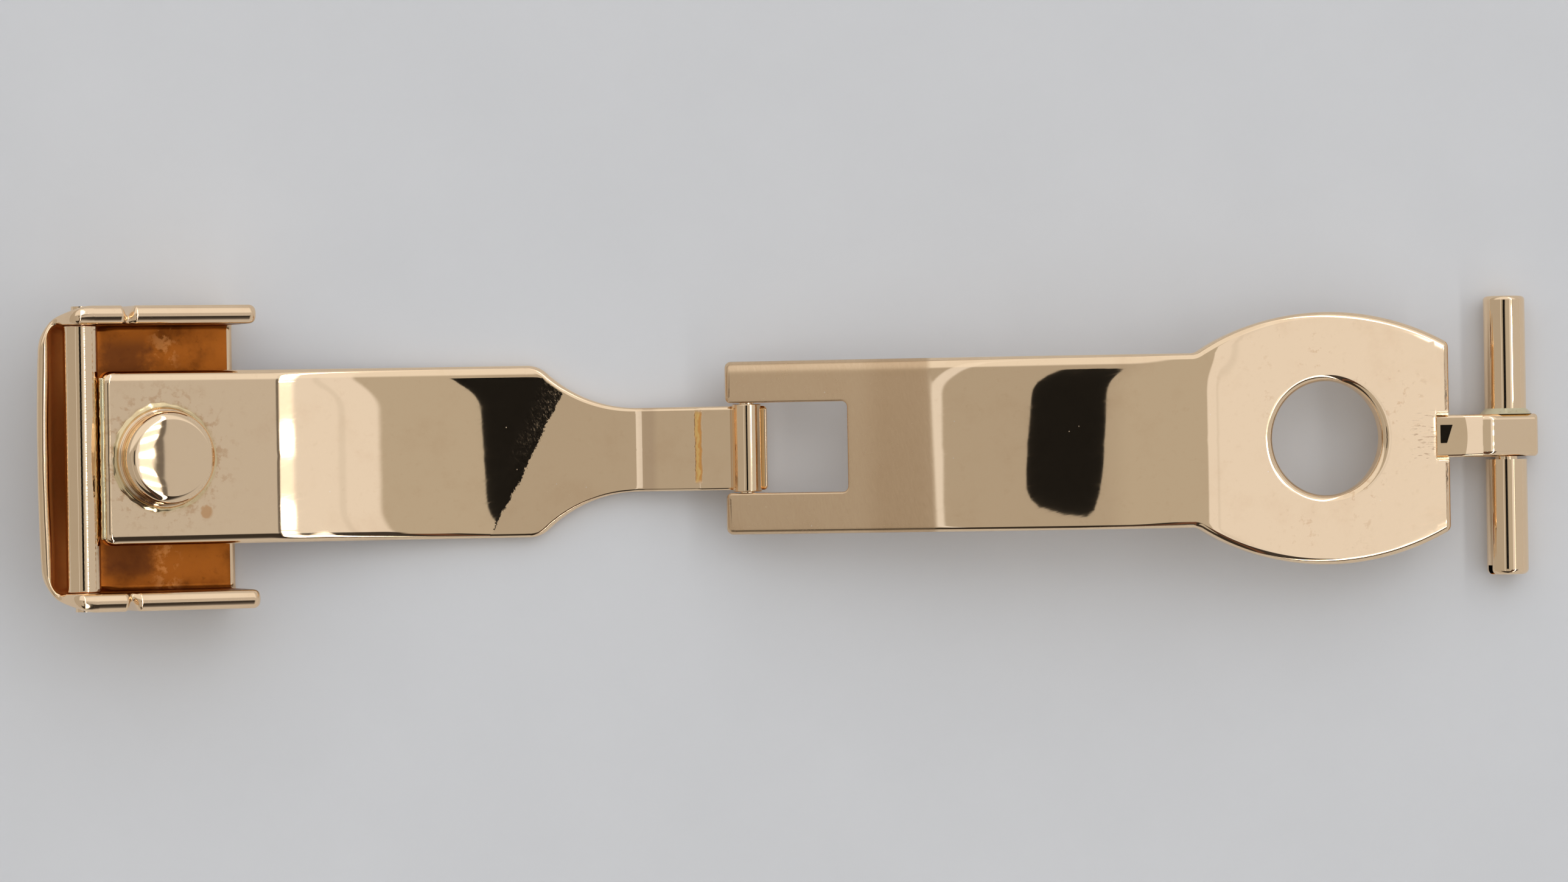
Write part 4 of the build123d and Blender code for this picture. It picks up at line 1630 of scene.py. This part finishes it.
@dataclass
class Stud:
    """Catch stud: flat-domed head with a low skirt, shank and post."""

    radius: float = 2.45
    height: float = 1.55
    top_reach: float = 1.2
    top_slope: float = 1.6
    brow_reach: float = 2.0
    brow_slope: float = 4.9
    skirt_radius: float = 2.6
    skirt_height: float = 0.32
    skirt_round: float = 0.13
    skirt_bevel: float = 0.02
    hollow: float = 0.06
    shank: float = 1.0
    shank_start: float = 0.2
    post: float = 1.9
    post_head: float = 1.25
    post_head_height: float = 0.7
    post_head_bevel: float = 0.01
    post_round: float = 0.2
    solder_spread: float = 0.25
    solder_rise: float = 0.8
    solder_lap: float = 0.05
    solder_sink: float = 0.02
    around: int = 160
    solder_around: int = 240

    def profile(self, sheet: float) -> Array:
        """Radius and height of the outline from the crown to the post's end.

        Args:
            sheet: thickness of the plate.

        Returns:
            Points of radius and height.
        """
        top_sine, brow_sine = (math.sin(math.radians(slope)) for slope in (self.top_slope, self.brow_slope))
        brow = (self.brow_reach - self.top_reach) / (brow_sine - top_sine)
        shoulder = (self.radius - self.brow_reach) / (1 - brow_sine)
        line = Route((0.0, self.height), 0.0).arc(self.top_reach / top_sine, -self.top_slope, 5)
        line.arc(brow, self.top_slope - self.brow_slope, 8).arc(shoulder, self.brow_slope - 90.0, 24)
        line.until(1, self.skirt_height + self.hollow, 2).arc(self.hollow, 90.0, 4)
        line.until(0, self.skirt_radius - self.skirt_round).arc(self.skirt_round, -90.0, 8)
        line.until(1, self.skirt_bevel)
        low = -sheet - self.post
        neck = low + self.post_head_height
        foot = Route((self.shank, -self.shank_start), -90.0).until(1, neck, 4)
        head = Route((self.post_head, neck - self.post_head_bevel), -90.0)
        head.until(1, low + self.post_round, 3).arc(self.post_round, -90.0, 8).until(0, 0.0, 3)
        start = np.array([[self.skirt_radius - self.skirt_bevel, 0.0], [self.shank, 0.0]])
        return np.concatenate([line.sample().points, start, foot.sample().points, head.sample().points])

    def build(self, form: Sheet, run: float, finish: Material) -> Piece:
        """Turns the stud on the plate.

        Args:
            form: the sheet that it stands on.
            run: run of the stud.
            finish: its material.

        Returns:
            The piece.
        """
        seat, _, normal = form.stand(run)
        skin = Skin()
        skin.add(lathe(self.profile(form.thickness(np.zeros(1))[0]), seat, normal, ACROSS, self.around))
        return skin.build("catch_stud_gold", [finish])

    def solder(self, form: Sheet, run: float, finish: Material) -> Piece:
        """Uneven ring of solder: its spread and height change with sums of sines round it.

        Args:
            form: the sheet that it stands on.
            run: run of the stud.
            finish: its material.

        Returns:
            The piece.
        """
        seat, _, normal = form.stand(run)
        turn = np.linspace(0.0, 2 * math.pi, self.solder_around + 1)
        ripple = 1 + 0.16 * np.sin(3 * turn + 1.0) + 0.11 * np.sin(7 * turn) + 0.07 * np.sin(23 * turn + 2.0)
        spoke = spokes(turn, ACROSS, np.cross(normal, ACROSS))[None]
        out = self.skirt_radius + self.solder_spread * (1 - np.sin(QUARTER))[:, None] * ripple
        up = self.solder_spread * (1 - np.cos(QUARTER))[:, None] * np.sqrt(ripple) * self.solder_rise
        inner = (self.skirt_radius - self.solder_lap) * spoke
        top = seat + out[..., None] * spoke + up[..., None] * normal
        back = seat + inner + up[-1][None, :, None] * normal
        low = seat + inner - self.solder_sink * normal
        foot = seat + out[:1, :, None] * spoke - self.solder_sink * normal
        skin = Skin()
        skin.add(np.concatenate([foot, top, back, low, foot]))
        return skin.build("stud_solder_bead", [finish])


@dataclass
class Turning:
    """A round bar along Y: its radius, its two ends and the rounding of each."""

    name: str
    radius: float
    near: float
    far: float
    near_round: float = 0.06
    far_round: float = 0.06
    ripple: float = 0.0
    around: int = 128
    plain_spans: int = 12
    ripple_spans: int = 160

    def build(self, axis_place: Array, finish: Material) -> Piece:
        """Turns the bar; a ripple makes its radius change a little along it.

        Args:
            axis_place: a point of the axis.
            finish: its material.

        Returns:
            The piece.
        """
        line = Route((0.0, self.near), 0.0)
        line.until(0, self.radius - self.near_round, 2).arc(self.near_round, 90.0, 8)
        line.until(1, self.far - self.far_round, self.ripple_spans if self.ripple else self.plain_spans)
        line.arc(self.far_round, 90.0, 8).until(0, 0.0, 2)
        profile = line.sample().points
        height = profile[:, 1]
        body = smooth_step(profile[:, 0], self.radius * 0.9, self.radius)
        profile[:, 0] += self.ripple * body * (np.sin(height * 21.0) + 0.6 * np.sin(height * 8.3 + 1.0))
        base = axis_place * np.array([1.0, 0.0, 1.0])
        skin = Skin()
        skin.add(lathe(profile, base, ACROSS, np.array([1.0, 0.0, 0.0]), self.around))
        return skin.build(self.name, [finish])


@dataclass
class Lug:
    """Lug of the strap bar: tongue in the plate's notch, crest, slope over the bar, rounded sides."""

    width: float = 2.25
    tongue: float = 0.7
    sink: float = 0.35
    crest: float = 1.7
    crest_run: float = 0.5
    crest_reach: float = 0.9
    crest_round: float = 1.3
    slope: float = 24.0
    end_reach: float = 1.65
    end_drop: float = 0.5
    under: float = 0.9
    hollow_reach: float = 1.1
    end_round: float = 0.3
    ridge_round: float = 0.7
    edge: float = 0.30
    low_edge: float = 0.05
    spans: int = 10
    blend: int = 6

    def corners(self, form: Sheet, end_run: float, bar: Array) -> list[tuple[Array, float, float]]:
        """Corners of the side outline: place about the bar's axis, rounding, and edge radius.

        Args:
            form: the rear blade's sheet.
            end_run: run of the plate's end.
            bar: a point of the bar's axis.

        Returns:
            The corners in anticlockwise order.
        """
        sheet = form.thickness(np.full(1, end_run))[0]

        def seen(reach: float, level: float) -> Array:
            """A point of the plate, from its end and its top face, about the bar's axis."""
            place = form.place(np.array([[end_run + reach, 0.0, level]]))[0]
            return (place - bar)[[0, 2]]

        fall = (self.end_reach + self.crest_reach) * math.tan(math.radians(self.slope))
        return [
            (seen(-self.tongue, self.sink), 0.06, self.low_edge),
            (seen(-self.tongue, sheet), 0.06, self.low_edge),
            (seen(self.hollow_reach, sheet), 0.25, self.low_edge),
            (np.array([-self.under, -self.under]), 0.2, 0.15),
            (np.array([self.end_reach - self.end_round * 0.7, -self.under]), 0.1, 0.08),
            (np.array([self.end_reach, -self.end_drop]), 0.15, 0.10),
            (np.array([self.end_reach, self.crest - fall]), self.end_round, self.edge),
            (np.array([-self.crest_reach, self.crest]), self.crest_round, self.edge),
            (np.array([-self.crest_reach - self.crest_run, self.crest]), self.ridge_round, self.edge),
        ]

    def build(self, form: Sheet, end_run: float, bar: Array, finish: Material) -> Piece:
        """A slab of the outline, across Y, with rounded edges that blend from corner to corner.

        Args:
            form: the rear blade's sheet.
            end_run: run of the plate's end.
            bar: a point of the bar's axis.
            finish: its material.

        Returns:
            The piece.
        """
        corners, rounds, edges = (np.array(column) for column in zip(*self.corners(form, end_run, bar)))
        points = rounded(corners, rounds, self.spans)
        step = np.roll(points, -1, 0) - np.roll(points, 1, 0)
        outward = unit(np.stack([step[:, 1], -step[:, 0]], -1))
        closed = np.append(np.arange(len(points)), 0)
        edges = np.repeat(edges, self.spans + 1)
        window = 2 * self.blend + 1
        wrapped = np.concatenate([edges[-self.blend :], edges, edges[: self.blend]])
        blend = np.convolve(wrapped, np.full(window, 1 / window), "valid")
        trace = Trace(points[closed], outward[closed], blend[closed])
        band = edge_band(trace, np.full(len(closed), self.width), 7, 4)
        place = np.stack([band[..., 0] + bar[0], self.width / 2 - band[..., 2], band[..., 1] + bar[2]], -1)
        skin = Skin()
        skin.add(place)
        skin.cap(place[:-1, 0])
        skin.cap(place[:-1, -1])
        return skin.build("bar_lug_gold", [finish])


def rounded(corners: Array, rounds: Array, spans: int) -> Array:
    """Closed outline whose corners are arcs.

    The arc at each corner leaves both sides where a circle of its radius touches them.

    Args:
        corners: corner points in anticlockwise order.
        rounds: radius at each corner.
        spans: spans of each arc.

    Returns:
        Points of the outline, spans + 1 for each corner.
    """
    arcs = []
    befores, afters = np.roll(corners, 1, 0), np.roll(corners, -1, 0)
    for before, corner, after, radius in zip(befores, corners, afters, rounds):
        entering, leaving = unit(corner - before), unit(after - corner)
        turn = math.atan2(entering[0] * leaving[1] - entering[1] * leaving[0], entering @ leaving)
        start = corner - entering * radius * math.tan(abs(turn) / 2)
        line = Route(tuple(start), math.degrees(math.atan2(entering[1], entering[0])))
        arcs.append(line.arc(radius, math.degrees(turn), spans).sample().points)
    return np.concatenate(arcs)


@dataclass
class Seam:
    """Seam of solder between the cross tube and the end of the front blade."""

    inset: float = 0.35
    reach: float = 0.03
    depth: float = 0.22
    depth_change: float = 0.03
    radius: float = 0.15
    radius_change: float = 0.025
    points: int = 90
    around: int = 14

    def build(self, form: Sheet, blade: FrontBlade, finish: Material) -> Piece:
        """Closed bead along the blade's end, round in section, whose depth and radius ripple.

        The section's two axes are square to the path's direction.

        Args:
            form: the front blade's sheet.
            blade: the front blade.
            finish: its material.

        Returns:
            The piece.
        """
        wide = np.linspace(-blade.half + self.inset, blade.half - self.inset, self.points)
        reach = np.full(wide.shape, blade.front_end + self.reach)
        ripple = 0.5 * np.sin(wide * 9.0) + 0.3 * np.sin(wide * 23.0 + 1.0) + 0.2 * np.sin(wide * 3.1)
        path = form.place(np.stack([reach, wide, self.depth + self.depth_change * ripple], -1))
        radius = self.radius + self.radius_change * ripple
        ahead = unit(np.gradient(path, axis=0))
        side = unit(np.cross(ahead, np.array([0.3, 0.2, 0.9])))
        turn = np.linspace(0.0, 2 * math.pi, self.around + 1)
        spoke = spokes(turn, side[:, None], np.cross(side, ahead)[:, None])
        tube = path[:, None] + radius[:, None, None] * spoke
        ends = (path[:1, None].repeat(len(turn), 1), path[-1:, None].repeat(len(turn), 1))
        skin = Skin()
        skin.add(np.concatenate([ends[0], tube, ends[1]]))
        return skin.build("tube_solder_bead", [finish])


def flat_face(name: str, corners: list[tuple], paint: Material) -> Piece:
    """One flat face with corners in metres.

    Args:
        name: name of the object.
        corners: corner points.
        paint: its material.

    Returns:
        The object.
    """
    mesh = bpy.data.meshes.new(name)
    mesh.from_pydata(corners, [], [tuple(range(len(corners)))])
    mesh.materials.append(paint)
    made = bpy.data.objects.new(name, mesh)
    bpy.context.scene.collection.objects.link(made)
    return made


@dataclass
class Studio:
    """Table, camera and light: a soft room, a bright panel to the right, lamps in a row, a black card."""

    distance: float = 320.0
    roll: float = 0.969
    lens: float = 139.35
    sensor: float = 36.0
    clip: float = 0.01
    aim: tuple[float, float, float] = (-0.58, 0.335, 4.0)
    card_lift: float = 6.0
    table_reach: float = 3.0
    table_drop: float = 0.00001
    panel: tuple[Pair, Pair] = ((23.2, 24.2), (36.5, 35.0))
    row: tuple[Pair, Pair] = ((32.8, 34.2), (39.6, 38.8))
    row_start: float = 0.8
    row_pitch: float = 4.2
    seam: float = 29.3
    gap: float = 40.2
    window: float = 23.2
    dark_start: float = 46.0
    lamp_size: float = 0.9
    lamp_energy: float = 1.25
    lamp_place: tuple[float, float, float] = (0.15, 0.1, 0.9)

    def table(self) -> Piece:
        """Pale table under the clasp, a hair below it, so that no faces coincide.

        Returns:
            The table.
        """
        shader = Shader("table_paint")
        place = shader.place()
        tone = shader.noise(place, 9.0, 5.0, 0.6)
        colour = shader.mix(tone, (0.688, 0.696, 0.712, 1), (0.742, 0.750, 0.766, 1))
        crumb = shader.specks(place, 7.0, 0.11, 0.22)
        colour = shader.mix(crumb * 0.5, colour, (0.30, 0.29, 0.28, 1))
        signs = ((-1, -1), (1, -1), (1, 1), (-1, 1))
        corners = [(x * self.table_reach, y * self.table_reach, -self.table_drop) for x, y in signs]
        table = flat_face("table", corners, shader.finish(colour, 0.7, None, 0.0))
        return table

    def camera(self) -> Piece:
        """Camera straight above the clasp, turned a little about the line of sight.

        Returns:
            The camera.
        """
        data = bpy.data.cameras.new("camera")
        data.lens = self.lens
        data.sensor_width = self.sensor
        data.clip_start = self.clip
        made = bpy.data.objects.new("camera", data)
        bpy.context.scene.collection.objects.link(made)
        place = Vector(self.aim) * MM + Vector((0.0, 0.0, 1.0)) * self.distance * MM
        spin = Matrix.Rotation(math.radians(-self.roll), 4, "Z")
        made.matrix_world = Matrix.Translation(place) @ spin
        bpy.context.scene.camera = made
        return made

    def card(self) -> Piece:
        """Black card round the lens, seen only in the metal.

        Returns:
            The card.
        """
        corners = [
            (-37, 27), (-35, 31), (-30, 35), (-20, 38.5), (10, 39.5), (30, 38.5),
            (38, 36.5), (37, 28), (34, 0), (31, -18), (27, -29), (22, -36),
            (15, -39), (-8, -38), (-32, -34), (-40, -30), (-44, -24), (-44, -16),
        ]
        height = self.aim[2] + self.distance + self.card_lift
        places = [((self.aim[0] + x) * MM, (self.aim[1] + y) * MM, height * MM) for x, y in corners]
        paint = Shader("black_card").finish((0.004, 0.004, 0.004, 1), 0.9, None, 0.0)
        card = flat_face("black_card", places, paint)
        card.visible_camera = False
        card.visible_diffuse = False
        card.visible_shadow = False
        return card

    def world(self) -> None:
        """Room light by direction.

        Across is the angle from straight up towards the right, and ahead the angle towards the
        far side. The panel, its seam, the lamp row, the dark gap and the window lie at fixed
        angles across, and the near side's dark starts at an angle ahead.
        """
        world = bpy.data.worlds.new("room")
        world.use_nodes = True
        shader = Shader("room", world.node_tree)
        x, y, z = shader.parts(shader.node("ShaderNodeTexCoord", {}, out="Generated"))
        across, ahead = x.angle(z), y.angle(z)
        aside = across.absolute()
        colour = shader.mix(across.step(2.0, 8.0), (0.46, 0.445, 0.42, 1), (0.51, 0.50, 0.475, 1))
        bright = shader.mix(across.step(32.6, 34.4), (0.85, 0.87, 0.93, 1), (1.08, 1.17, 1.27, 1))
        seam = (across - self.seam).absolute().step(0.8, 0.2)
        bright = shader.mix(seam * 0.25, bright, (0.55, 0.55, 0.55, 1))
        gap = (across - self.gap).absolute().step(0.9, 0.4)
        window = (across + self.window).absolute().step(1.5, 0.9)
        far = ahead.between((12.0, 20.0), (100.0, 80.0)) * aside.step(70.0, 50.0)
        near_start = across.step(9.0, 15.0) * 30.0 - self.dark_start
        dark = (ahead - near_start).step(1.5, -3.0) * ahead.step(-98.0, -90.0) * aside.step(58.0, 44.0)
        red = (across - 19.0).absolute().step(4.0, 1.5) * dark
        wave = ((ahead - self.row_start) * (2 * math.pi / self.row_pitch)).cosine()
        strength = 1.3 + wave.step(0.0, 0.9) * ahead.absolute().step(75.0, 60.0) * 7.0
        layers = (
            (across.between(*self.panel), bright),
            (across.step(39.5, 40.5), (0.575, 0.575, 0.585, 1)),
            (gap * 0.85, (0.10, 0.09, 0.085, 1)),
            (window, (0.82, 0.85, 0.92, 1)),
            (far * 0.8, (0.98, 1.0, 1.04, 1)),
            (dark * 0.96, (0.02, 0.015, 0.012, 1)),
            (red * 0.8, (0.17, 0.085, 0.06, 1)),
            (across.between(*self.row), shader.join(strength, strength, strength)),
        )
        for share, layer in layers:
            colour = shader.mix(share, colour, layer)
        background = shader.node("ShaderNodeBackground", {}, colour, 1.0)
        end = shader.tree.nodes.new("ShaderNodeOutputWorld")
        shader.tree.links.new(background.socket, end.inputs["Surface"])
        bpy.context.scene.world = world

    def lamp(self) -> None:
        """Broad soft lamp for the table's brightness, not seen in the metal."""
        data = bpy.data.lights.new("soft_lamp", "AREA")
        data.shape = "SQUARE"
        data.size = self.lamp_size
        data.energy = self.lamp_energy
        made = bpy.data.objects.new("soft_lamp", data)
        made.location = self.lamp_place
        made.rotation_euler = made.location.to_track_quat("Z", "Y").to_euler()
        made.visible_glossy = False
        bpy.context.scene.collection.objects.link(made)


def dress(piece: Piece, body: str, slot: str, *nodes: str) -> None:
    """Lets a piece ride on a body and stand for CAD nodes, which it hides.

    Args:
        piece: the piece.
        body: name of the body.
        slot: name of the slot; not used.
        *nodes: names of the CAD nodes.
    """
    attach(piece, body)
    if nodes:
        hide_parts(*nodes)


@dataclass
class Clasp:
    """The whole clasp, with the sizes of its turned pieces."""

    tube_radius: float = 0.9
    tube_end: float = 6.975
    tube_ripple: float = 0.0022
    knuckle_radius: float = 0.77
    knuckle_lap: float = 0.09
    bar_radius: float = 1.1
    bar_end: float = 7.4
    bar_root: float = 0.3
    bar_nose: float = 0.22
    tongue_gap: float = 0.1

    def __post_init__(self) -> None:
        """Works out the forms that the pieces share, and makes the plain materials."""
        self.blade, self.fork, self.lug = FrontBlade(), RearBlade(), Lug()
        self.front, self.rear = self.blade.sheet_form(), self.fork.sheet_form()
        self.polish = Polish()
        self.turned = self.polish.plain("turned_gold", Finish.TURNED)
        self.pale = self.polish.plain("pale_solder", Finish.SOLDER)

    def plates(self) -> None:
        """Builds the two blades and the cover."""
        seat, _, _ = self.front.stand(self.blade.stud_place)
        hole, _, _ = self.rear.stand(self.fork.hole_run)
        front = self.blade.build(self.polish.front_plate(seat))
        rear = self.fork.build(self.polish.rear_plate(hole))
        outer = self.polish.plain("cover_gold", Finish.OUTER)
        cover = Cover().build(outer, self.polish.cover_inside())
        dress(front, "front_blade", "front_blade_gold", "front_blade")
        dress(rear, "rear_blade", "rear_blade_gold", "rear_blade")
        dress(cover, "cover", "cover_gold", "cover_shell")

    def catch(self) -> None:
        """Builds the stud, its solder and the seam at the blade's end."""
        stud, run = Stud(), self.blade.stud_place
        head = stud.build(self.front, run, self.polish.plain("stud_gold", Finish.DOME))
        ring = stud.solder(self.front, run, self.polish.plain("ring_solder", Finish.RING))
        seam = Seam().build(self.front, self.blade, self.pale)
        dress(head, "front_blade", "stud_gold", "catch_stud")
        dress(ring, "front_blade", "pale_solder", "stud_solder")
        dress(seam, "front_blade", "pale_solder", "tube_solder")

    def bars(self) -> None:
        """Builds the two tubes, the upper bar and the lug."""
        bar, ends = place_of("strap_bar_fixed"), (self.bar_root, self.bar_nose)
        knuckle = self.blade.neck_width / 2 + self.knuckle_lap
        cross = Turning("cross_tube_gold", self.tube_radius, -self.tube_end, self.tube_end)
        cross.ripple = self.tube_ripple
        hinge = Turning("hinge_tube_gold", self.knuckle_radius, -knuckle, knuckle)
        upper = Turning("strap_bar_fixed_gold", self.bar_radius, self.lug.width / 2, self.bar_end, *ends)
        rows = (
            (cross, joint_place("cover_swing"), "front_blade", "cross_tube"),
            (hinge, joint_place("main_fold"), "front_blade", "hinge_tube"),
            (upper, bar, "rear_blade", "strap_bar_fixed"),
        )
        for turning, place, body, node in rows:
            dress(turning.build(place, self.turned), body, "turned_gold", node)
        tongue, _, _ = self.rear.stand(self.fork.end_run - self.fork.notch_depth)
        paint = self.polish.lug_gold(tongue[0] + self.tongue_gap)
        dress(self.lug.build(self.rear, self.fork.end_run, bar, paint), "rear_blade", "stud_gold", "bar_lug")

    def nodes(self) -> None:
        """Dresses the CAD nodes, of which those that no piece replaces are seen."""
        for name, node in frame["nodes"].items():
            node.data.materials.clear()
            node.data.materials.append(self.pale if "solder" in name else self.turned)


def main() -> None:
    """Builds the light, the camera and the clasp."""
    logging.basicConfig(level=logging.INFO, format="%(message)s")
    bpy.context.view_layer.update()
    studio = Studio()
    for make in (studio.camera, studio.card, studio.world, studio.lamp, studio.table):
        make()
    clasp = Clasp()
    for make in (clasp.plates, clasp.catch, clasp.bars, clasp.nodes):
        make()
    bpy.context.scene.view_settings.view_transform = "Standard"


if __name__ == "__main__":
    main()
